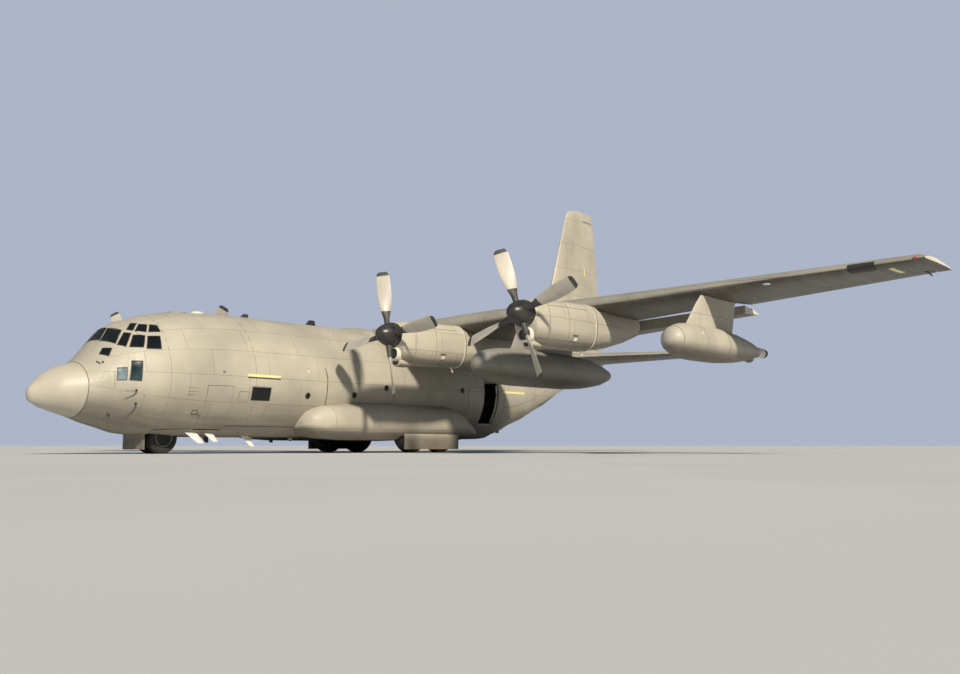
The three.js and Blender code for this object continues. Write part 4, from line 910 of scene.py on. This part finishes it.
def make_side_details(side, sign):
    armour = [hull_side(9150 - 70 * max(0, z - 2500) / 300, z, sign) for z in range(2800, 800, -80)]
    skin_ribbon("propeller_line_seam_" + side, armour, 24, "seal")
    plate("scanner_window_glass_" + side, 6070, 6800, 1640, 2060, "glass", sign, 5, -2)
    outline("scanner_window_frame_" + side, 6055, 6815, 1625, 2075, 34, "frame", sign, 8)
    outline("access_panel_outline_" + side, 5630, 5980, 1600, 1900, 10, "soft_seam", sign)
    plate("strip_front_" + side, 5880, 7160, 2370, 2455, "strip", sign, 7)
    plate("strip_front_shadow_" + side, 5880, 7160, 2325, 2360, "seal", sign, 3)
    plate("strip_rear_" + side, 18530, 20050, 2340, 2440, "strip", sign, 7)
    for i, (station, z) in enumerate(((8335, 1867), (10400, 1960), (11917, 2266), (16050, 2350))):
        porthole(f"porthole_{side}_{i}", station, z, 105, sign)
    # Dark lines along the chine are painted shade, where the lit side turns into the belly.
    for part, first, last in (("front", 3300, 4420), ("rear", 5480, 9150)):
        stations = [blend(first, last, t / 12) for t in range(13)]
        line = [hull_side(s, blend(700, 850, (s - 3300) / 3000) if s < 5000 else 850, sign) for s in stations]
        skin_ribbon(f"chine_line_{part}_{side}", line, 16, "seal")
    line = [hull_side(s, blend(1790, 4150, ((s - 18750) / 6000) ** 1.6), sign) for s in range(18750, 24800, 300)]
    skin_ribbon("tail_chine_" + side, line, 10, "soft_seam")
    for i, (z, length) in enumerate(((1950, 380), (1840, 300), (1750, 210))):
        line = [hull_side(3900 + t * length / 3, z, sign) for t in range(4)]
        skin_ribbon(f"louvre_{side}_{i}", line, 9, "soft_seam")
    handle = side_path(sign, ((4370, 1200, 2), (4370, 1200, 50), (4430, 1160, 50), (4430, 1160, 2)))
    tube("door_handle_" + side, handle, 9, "seal")
    outline("side_slot_" + side, 4170, 4340, 1180, 1290, 14, "seal", sign)
    stud("static_port_" + side, hull_side(8335, 2660, sign), sign, [(46, -20), (46, 4), (16, 8)], "pale", 20)
    lamp = [(40, -20), (40, 12), (20, 24)]
    stud("fairing_lamp_" + side, hull_side(5034, 2478, sign), sign, lamp, "soft_seam", 20)


# Steps from the skin to the tip of a pitot tube, in metres: outward, aft, up
PITOT = ((-0.01, 0, 0), (0.03, 0, 0), (0.045, -0.03, -0.008), (0.048, -0.09, -0.01), (0.048, -0.17, -0.01))


def make_probes():
    for name, station, z in (("upper", 2438, 1828), ("lower", 2495, 1453)):
        for side, sign in SIDES:
            foot = hull_side(station, z, sign)
            out = skin_normal(foot)
            path = [foot + out * off + Vector((0, aft, up)) for off, aft, up in PITOT]
            tube(f"pitot_mast_{name}_{side}", path[:3], 30, "black", end_radius=22)
            tube(f"pitot_{name}_{side}", path[2:], 20, "steel", end_radius=11)
    for side, sign in SIDES:
        probe = hull_side(1697, 2615, sign)
        stud("temperature_probe_" + side, probe, sign, [(30, -20), (30, 16), (14, 40)], "black", 16)
        hook = side_path(sign, ((1640, 2570, 0), (1625, 2565, 30), (1600, 2570, 42), (1560, 2615, 42)))
        tube("ice_probe_" + side, hook, 12, "black")


def make_antennas():
    blade_antenna("chin_vane", hull_side(1943, 1140, 1), 90, 110, "black", 0.2, 20)
    belly = ((1150, 4560, 330, 420, 1.0), (1180, 5180, 260, 330, 0.9), (950, 6720, 340, 300, 0.8))
    for i, (x, station, height, length, lean) in enumerate(belly):
        foot = hull_round(station, -math.degrees(math.acos(x / between(HULL, station)[0])))
        tilt = Vector((0.2, 0, -1)).normalized()
        blade_antenna(f"belly_antenna_{i}", foot, height, length, "white", lean, 46, tilt)
    masts = ((5900, 0, 160, "seal"), (7400, 300, 120, "white"), (8800, -350, 150, "seal"), (17300, 0, 180, "seal"))
    for i, (station, x, height, finish) in enumerate(masts):
        blade_antenna(f"belly_mast_{i}", place(x, station, 500), height, 240, finish, 0.4, 30, DOWN)
    beacon = [(90, 10), (90, -25), (70, -32), (66, -70), (40, -96), (8, -104)]
    turned("belly_beacon", "z", place(0, 9400, 500), beacon, "clear_lens", sides=28)
    for part, station, height, length, finish, lean, thickness in (
        ("front", 7300, 150, 380, "seal", 0.5, 40), ("middle", 10200, 210, 520, "black", 0.4, 60),
        ("rear", 19800, 190, 420, "seal", 0.4, 44),
    ):
        foot = place(0, station, 4482)
        blade_antenna("crown_antenna_" + part, foot, height, length, finish, lean, thickness, UP)
    dome = [(230, -20), (225, 30), (190, 62), (120, 84), (20, 92)]
    turned("crown_dome", "z", place(0, 5450, 4440), dome, "pale", sides=32)
    turned("crown_hatch", "z", place(0, 4700, 4395), [(330, -40), (330, 10), (300, 26), (40, 30)], "frame", sides=40)


def make_fuselage_details():
    skin_ribbon("radome_joint", [hull_round(1272, a) for a in range(0, 361, 9)], 16, "seal")
    for i, station in enumerate((3350, 6200, 10200, 18690, 20900, 22600, 24300)):
        ring = [hull_round(station, a) for a in range(-180, 181, 9)]
        skin_ribbon(f"frame_seam_{i}", ring, 9, "soft_seam", 2.5)
    for side, sign in SIDES:
        make_side_details(side, sign)
    make_probes()
    make_antennas()


def make_troop_doors():
    """Frames round the side doorways, with a rail and a step in the open one."""
    for side, sign in SIDES:
        outline("troop_door_surround_" + side, 17380, 18330, 1030, 2900, 36, "frame", sign, 52, 8, -52)
        if sign > 0:
            rail = [hull_side(18250, z, 1, -90) for z in range(1150, 2800, 150)]
            tube("open_door_jamb_rail", rail, 26, "pale")
            step = [hull_side(17480, 1075, 1, -40), hull_side(18240, 1075, 1, -40)]
            tube("open_door_step_bar", step, 22, "steel")


# Nacelle fittings: depth below the thrust line, finish, and rows of station, half-width and half-height
SCOOPS = {
    "intake_lip_": (600, "pale", (
        (9700, 190, 150), (9500, 192, 152), (9420, 202, 162), (9385, 222, 182), (9395, 246, 206), (9440, 262, 222),
        (9620, 280, 240))),
    # The dark duct is painted shade inside the intake.
    "intake_duct_": (600, "black", ((9418, 196, 156), (9690, 180, 140))),
    "cooler_scoop_": (830, "cowl", (
        (9560, 150, 120), (9580, 188, 158), (9640, 205, 176), (9900, 215, 180), (10250, 200, 150), (10700, 120, 60))),
    # The dark cooler mouth is painted shade inside the scoop.
    "cooler_mouth_": (850, "black", ((9553, 120, 88), (9566, 132, 100), (9640, 128, 92))),
}
# Rings laid round the cowl: station, width, finish, thickness
COWL_RINGS = {
    "cowl_rear_rim_": (12330, 46, "pale", 7), "cowl_shadow_": (12372, 30, "seal", 4),
    "cowl_seam_0_": (9980, 8, "soft_seam", 3), "cowl_seam_1_": (10900, 8, "soft_seam", 3),
}
# The exhaust pipe: radius and station
EXHAUST = [(190, 14900), (215, 15200), (222, 15420), (200, 15425), (190, 15300), (60, 15280)]


def turned_aft(name, x, z, rows, finish, sides):
    """A form turned about a line aft; its rows are radius and station."""
    return turned(name, "y", place(x, ORIGIN, z), [(r, s - ORIGIN) for r, s in rows], finish, sides=sides)


def make_nacelle_fittings():
    for name, x, thrust, _ in ENGINES:
        for part, (depth, finish, rows) in SCOOPS.items():
            loft(part + name, [oval(x, s, thrust - depth, w, h) for s, w, h in rows], finish)
        lip = [(404, 20), (408, -10), (398, -24), (360, -28), (340, -20)]
        turned("front_ring_" + name, "y", place(x, 9480, thrust), lip, "pale", sides=48)
        normal = nacelle_normal(x, thrust)
        for part, (station, width, finish, thickness) in COWL_RINGS.items():
            path = [nacelle_point(x, thrust, station, a) for a in range(0, 361, 10)]
            normals = [normal(p) or (p - place(x, station, thrust - 100)).normalized() for p in path]
            ribbon(part + name, path, normals, width, finish, thickness)
        for label, sign, base in (("_out", 1, 0), ("_in", -1, 180)):
            outward = Vector((sign, 0, 0))

            def inlet(u, v):
                bulge = 24 * u * math.sin(math.pi * min(1, max(0, v)))
                return nacelle_point(x, thrust, 11190 + 150 * u, base - sign * (28 + 10 * v), bulge)

            line = [nacelle_point(x, thrust, s, base + sign * 38) for s in range(9980, 12300, 290)]
            ribbon("cowl_hinge_" + name + label, line, [normal(p) or outward for p in line], 10, "soft_seam", 3)
            # A dark slot painted as the shadow of the scoop.
            vent = [nacelle_point(x, thrust, at, base - sign * 22) for at in (11130, 11390)]
            ribbon("cowl_scoop_shadow_" + name + label, vent, [normal(p) or outward for p in vent], 26, "seal", 6)
            patch("cowl_inlet_" + name + label, 4, 4, inlet, "pale", outward, 6)
        foot = place(x + (120 if x > 0 else -120), 12100, thrust - 905)
        blade_antenna("drain_mast_" + name, foot, 150, 90, "white", 0.6, 30, DOWN)
        turned_aft("exhaust_pipe_" + name, x, thrust + 60, EXHAUST, "exhaust", 36)


# Tanks and refuelling pods: radius and station
TANK = [(4, 10150), (110, 10165), (190, 10200), (290, 10292), (360, 10400), (440, 10600), (492, 10800), (540, 11090),
        (572, 11400), (594, 11800), (600, 12200), (600, 14700), (572, 15300), (530, 15900), (460, 16450), (370, 17000),
        (270, 17330), (170, 17650), (60, 17830), (4, 17860)]
POD = [(4, 10750), (110, 10762), (200, 10800), (296, 10890), (370, 11000), (436, 11200), (482, 11400), (508, 11700),
       (520, 12000), (520, 12800), (510, 13400), (478, 14000), (430, 14600), (360, 15180), (280, 15700), (218, 16000),
       (170, 16250), (156, 16500), (150, 16700), (120, 16860), (90, 16958), (20, 16960)]
OUTFLOW = [
    (15500, 20, 3010), (15540, 90, 2990), (15640, 140, 2960), (15780, 150, 2945), (15900, 120, 2950),
    (15960, 60, 2965), (15980, 12, 2975),
]


def pylon(name, x, half, rows, finish):
    """A streamlined pylon: rows are height, front station, back station."""
    rings = []
    for z, front, back in rows:
        ring = []
        for c, s in circle(24):
            along = 0.5 - 0.5 * c
            ring.append(place(x + half * s * (1.25 - 0.5 * along), blend(front, back, along), z))
        rings.append(ring)
    return loft(name, rings, finish, angle=40)


def make_store(kind, node, x, z, profile, finish, half, rows, bands, foot, rim):
    """A store with its pylon and bands: each band's radius and station, and the half widths of foot and rim."""
    side = "port" if x > 0 else "starboard"
    body = turned_aft(f"{kind}_body_{side}", x, z, profile, finish, 56)
    arm = pylon(f"{kind}_pylon_{side}", x, half, rows, finish)
    whole = joined(f"{node}_dressed_{side}", [body, arm])
    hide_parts(f"{node}_{side}")
    for i, (radius, station) in enumerate(bands):
        band = [(radius - 8, -foot), (radius + 1, -rim), (radius + 1, rim), (radius - 8, foot)]
        turned(f"{kind}_band_{side}_{i}", "y", place(x, station, z), band, "soft_seam", sides=56)


def make_stores():
    tank_arm = [(2990, 11700, 15300), (3400, 11980, 15430), (3900, 12260, 15620), (4130, 12390, 15480)]
    tank_bands = ((601, 12250), (601, 14650), (372, 16990))
    pod_arm = [(3380, 11500, 14600), (3800, 11900, 14720), (4300, 12380, 14850), (4560, 12680, 14900)]
    pod_bands = ((371, 11000), (520, 12100), (507, 13500), (430, 14600), (281, 15700))
    for side, sign in SIDES:
        x, z = 7690 * sign, 2750
        make_store("tank", "external_tank", x, z, TANK, "store", 72, tank_arm, tank_bands, 14, 10)
        tip = [(178, 2735), (180, 2740), (66, 2938), (20, 2964)]
        turned("tank_tail_tip_" + side, "y", place(x, ORIGIN, z), tip, "pale", sides=36)
        turned("tank_cap_" + side, "z", place(x, 11900, 3338), [(70, -20), (70, 6), (55, 10)], "frame", sides=24)
        x, z = 14060 * sign, 3150
        make_store("pod", "refuelling_pod", x, z, POD, "pod", 76, pod_arm, pod_bands, 12, 9)
        cone = [(151, -440), (172, -434), (158, -150), (152, 0), (150, 4)]
        turned("pod_tail_cone_" + side, "y", place(x, 16700, z), cone, "pale", sides=40)
        loft("pod_outflow_" + side, [oval(x, station, height, w, w) for station, w, height in OUTFLOW], "pod")
        stud("pod_cap_" + side, place(x + sign * 476, 11850, 3360), sign, [(30, -14), (30, 6), (12, 12)], "white", 20)
        # A dark lining painted as the shade inside the hose mouth.
        mouth = [(152, 0), (156, 10), (132, 200), (96, 262), (70, 264), (64, 200)]
        turned("pod_hose_mouth_" + side, "y", place(x, 16700, z), mouth, "black", sides=36)


# Wing and tail trim
def wing_patch(name, sign, out, bow, finish, outward, thickness):
    """A thin plate laid on the wing, between two distances out and two places round its section."""
    def at(u, v):
        return wing_point(sign * blend(*out, u), blend(*bow, v), 1.0)
    patch(name, 10, 10, at, finish, outward, thickness)


def make_wing_trim():
    for side, sign in SIDES:
        wing_patch("leading_edge_patch_" + side, sign, (18250, 18950), (-0.34, 0.16), "black", AHEAD, 3)
        for i, x in enumerate((6300, 8900, 11700, 14100, 16900)):
            path = [wing_point(sign * x, s / 12, 1) for s in range(-9, 10)]
            ribbon(f"wing_seam_{side}_{i}", path, [wing_normal(p) or AHEAD for p in path], 9, "soft_seam", 3)
        wing_patch("wing_strip_" + side, sign, (19200, 19330), (-0.72, -0.35), "strip", DOWN, 4)
        lens = wing_point(sign * 19960, 0.0) + Vector((0, -0.012, 0))
        colour = "red_lens" if sign > 0 else "green_lens"
        turned("tip_lamp_" + side, "y", lens, [(12, -16), (38, -8), (46, 20), (40, 70)], colour, sides=20)
        lamp = [(125, 20), (125, -4), (110, -10), (40, -12)]
        turned("landing_lamp_" + side, "z", wing_point(sign * 16000, -0.22, 2), lamp, "clear_lens", sides=32)
        dump = wing_point(sign * 19700, -0.9, 0)
        pipe = [dump + Vector((0, aft, up)) for aft, up in ((-0.12, -0.01), (0.1, -0.02), (0.16, -0.03))]
        tube("fuel_dump_pipe_" + side, pipe, 22, "seal")
    beacon = [(80, -20), (80, 30), (60, 70), (20, 96)]
    turned("fin_beacon", "z", place(0, 27400, 11560), beacon, "red_lens", sides=24)


def fin_side(station, z, sign):
    """The place on the fin's side at a station and a height."""
    fin = bpy.data.objects["fin_skin"]
    return fin.ray_cast(place(sign * 2000, station, z), (-sign, 0, 0))[1] + Vector((sign * 0.001, 0, 0))


def make_tail_trim():
    for side, sign in SIDES:
        outward = Vector((sign, 0, 0))

        def strip(u, v):
            return fin_side(blend(27540, 27620, u), blend(8480, 8900, v), sign)

        patch("fin_strip_" + side, 2, 6, strip, "strip", outward, 5)
        for i, (front, back, low, high) in enumerate(((26100, 26250, 5350, 6600), (26500, 26580, 9300, 10300))):
            line = [fin_side(blend(front, back, t / 6), blend(low, high, t / 6), sign) for t in range(7)]
            ribbon(f"fin_seam_{i}_{side}", line, [outward] * 7, 10, "soft_seam", 3)


# Undercarriage details
def make_gear():
    for side, sign in SIDES:
        for end, station in MAIN_WHEELS:
            def at(x, z, ahead=0):
                return place(sign * x, station - ahead, z)

            label = f"{side}_{end}"
            tube("main_strut_" + label, [at(1810, 760), at(1810, 1390)], 78, "steel", sides=24)
            tube("main_strut_piston_" + label, [at(1810, 600), at(1810, 800)], 60, "chrome", sides=24)
            stack = [(80, -60), (190, -60), (200, -40), (200, 40), (190, 50)]
            turned("brake_stack_" + label, "x", at(1950, 710), stack, "steel", sides=32)
            hose = [at(1890, 1300, 90), at(1925, 1100, 110), at(1925, 900, 100), at(1900, 760, 70)]
            tube("brake_hose_" + label, hose, 12, "black")
    tube("nose_drag_strut", [place(0, NOSE_WHEELS, 1300), place(0, 4520, 1760)], 42, "steel", sides=16)
    for z, body in ((1060, "airframe"), (980, "nose_fork")):
        collar = [(64, -26), (128, -26), (134, 0), (128, 26), (64, 26)]
        turned(f"nose_collar_{z}", "z", place(0, NOSE_WHEELS, z), collar, "steel", body, 28)
    for side, sign in SIDES:
        lamp = [(30, 70), (72, 50), (80, 0), (74, -14), (20, -20)]
        turned("taxi_lamp_" + side, "y", place(sign * 165, 4010, 1350), lamp, "clear_lens", sides=24)


dress_airframe()
make_propellers()
make_wheels()
make_cockpit_windows()
make_fuselage_details()
make_troop_doors()
make_nacelle_fittings()
make_stores()
make_wing_trim()
make_tail_trim()
make_gear()


# Floor, light and camera
def make_stage():
    nothing_selected()
    bpy.ops.mesh.primitive_grid_add(x_subdivisions=4, y_subdivisions=4, size=2400, location=(0, 0, -0.001))
    ground = bpy.context.object
    ground.name = "studio_floor"
    finish, tree, surface, where = new_finish("studio_floor_pale", 0.75)
    tone = colour_mix(tree, ramp(tree, noise(tree, where, 0.6), 0.3, 0.7), (0.53, 0.54, 0.55), (0.57, 0.58, 0.585))
    tree.links.new(tone, surface.inputs["Base Color"])
    ground.data.materials.append(finish)


def soft_sun(name, towards, strength, spread, colour):
    data = bpy.data.lights.new(name, "SUN")
    data.angle = math.radians(spread)
    data.energy = strength
    data.color = colour
    lamp = added(name, data)
    lamp.rotation_euler = Vector(towards).to_track_quat("Z", "Y").to_euler()


def make_lights():
    scene = bpy.context.scene
    world = bpy.data.worlds.new("pale_studio")
    scene.world = world
    world.use_nodes = True
    tree = world.node_tree
    tree.nodes.clear()
    room = wire(tree, "Background", Color=(0.72, 0.82, 1.0, 1), Strength=0.24)
    wall = wire(tree, "Background", Color=(0.52, 0.58, 0.72, 1), Strength=0.8)
    seen = tree.nodes.new("ShaderNodeLightPath").outputs["Is Camera Ray"]
    both = wire(tree, "MixShader", i0=seen, i1=room.outputs[0], i2=wall.outputs[0])
    tree.links.new(both.outputs[0], tree.nodes.new("ShaderNodeOutputWorld").inputs[0])
    scene.view_settings.view_transform = "Standard"
    soft_sun("key_light", (10, -5.2, 7.6), 4.7, 4, (1.0, 0.9, 0.74))
    soft_sun("fill_light", (-6, -20, 8), 0.3, 40, (0.9, 0.94, 1.0))


def make_camera():
    data = bpy.data.cameras.new("photo_camera")
    data.lens = 38.4
    data.clip_end = 2000
    camera = added("photo_camera", data)
    azimuth, distance = math.radians(43.95), 20.0
    camera.location = (distance * math.sin(azimuth), -distance * math.cos(azimuth), 0.12)
    camera.rotation_euler = (Vector((1.12, 1.06, 2.25)) - camera.location).to_track_quat("-Z", "Y").to_euler()
    bpy.context.scene.camera = camera


make_stage()
make_lights()
make_camera()
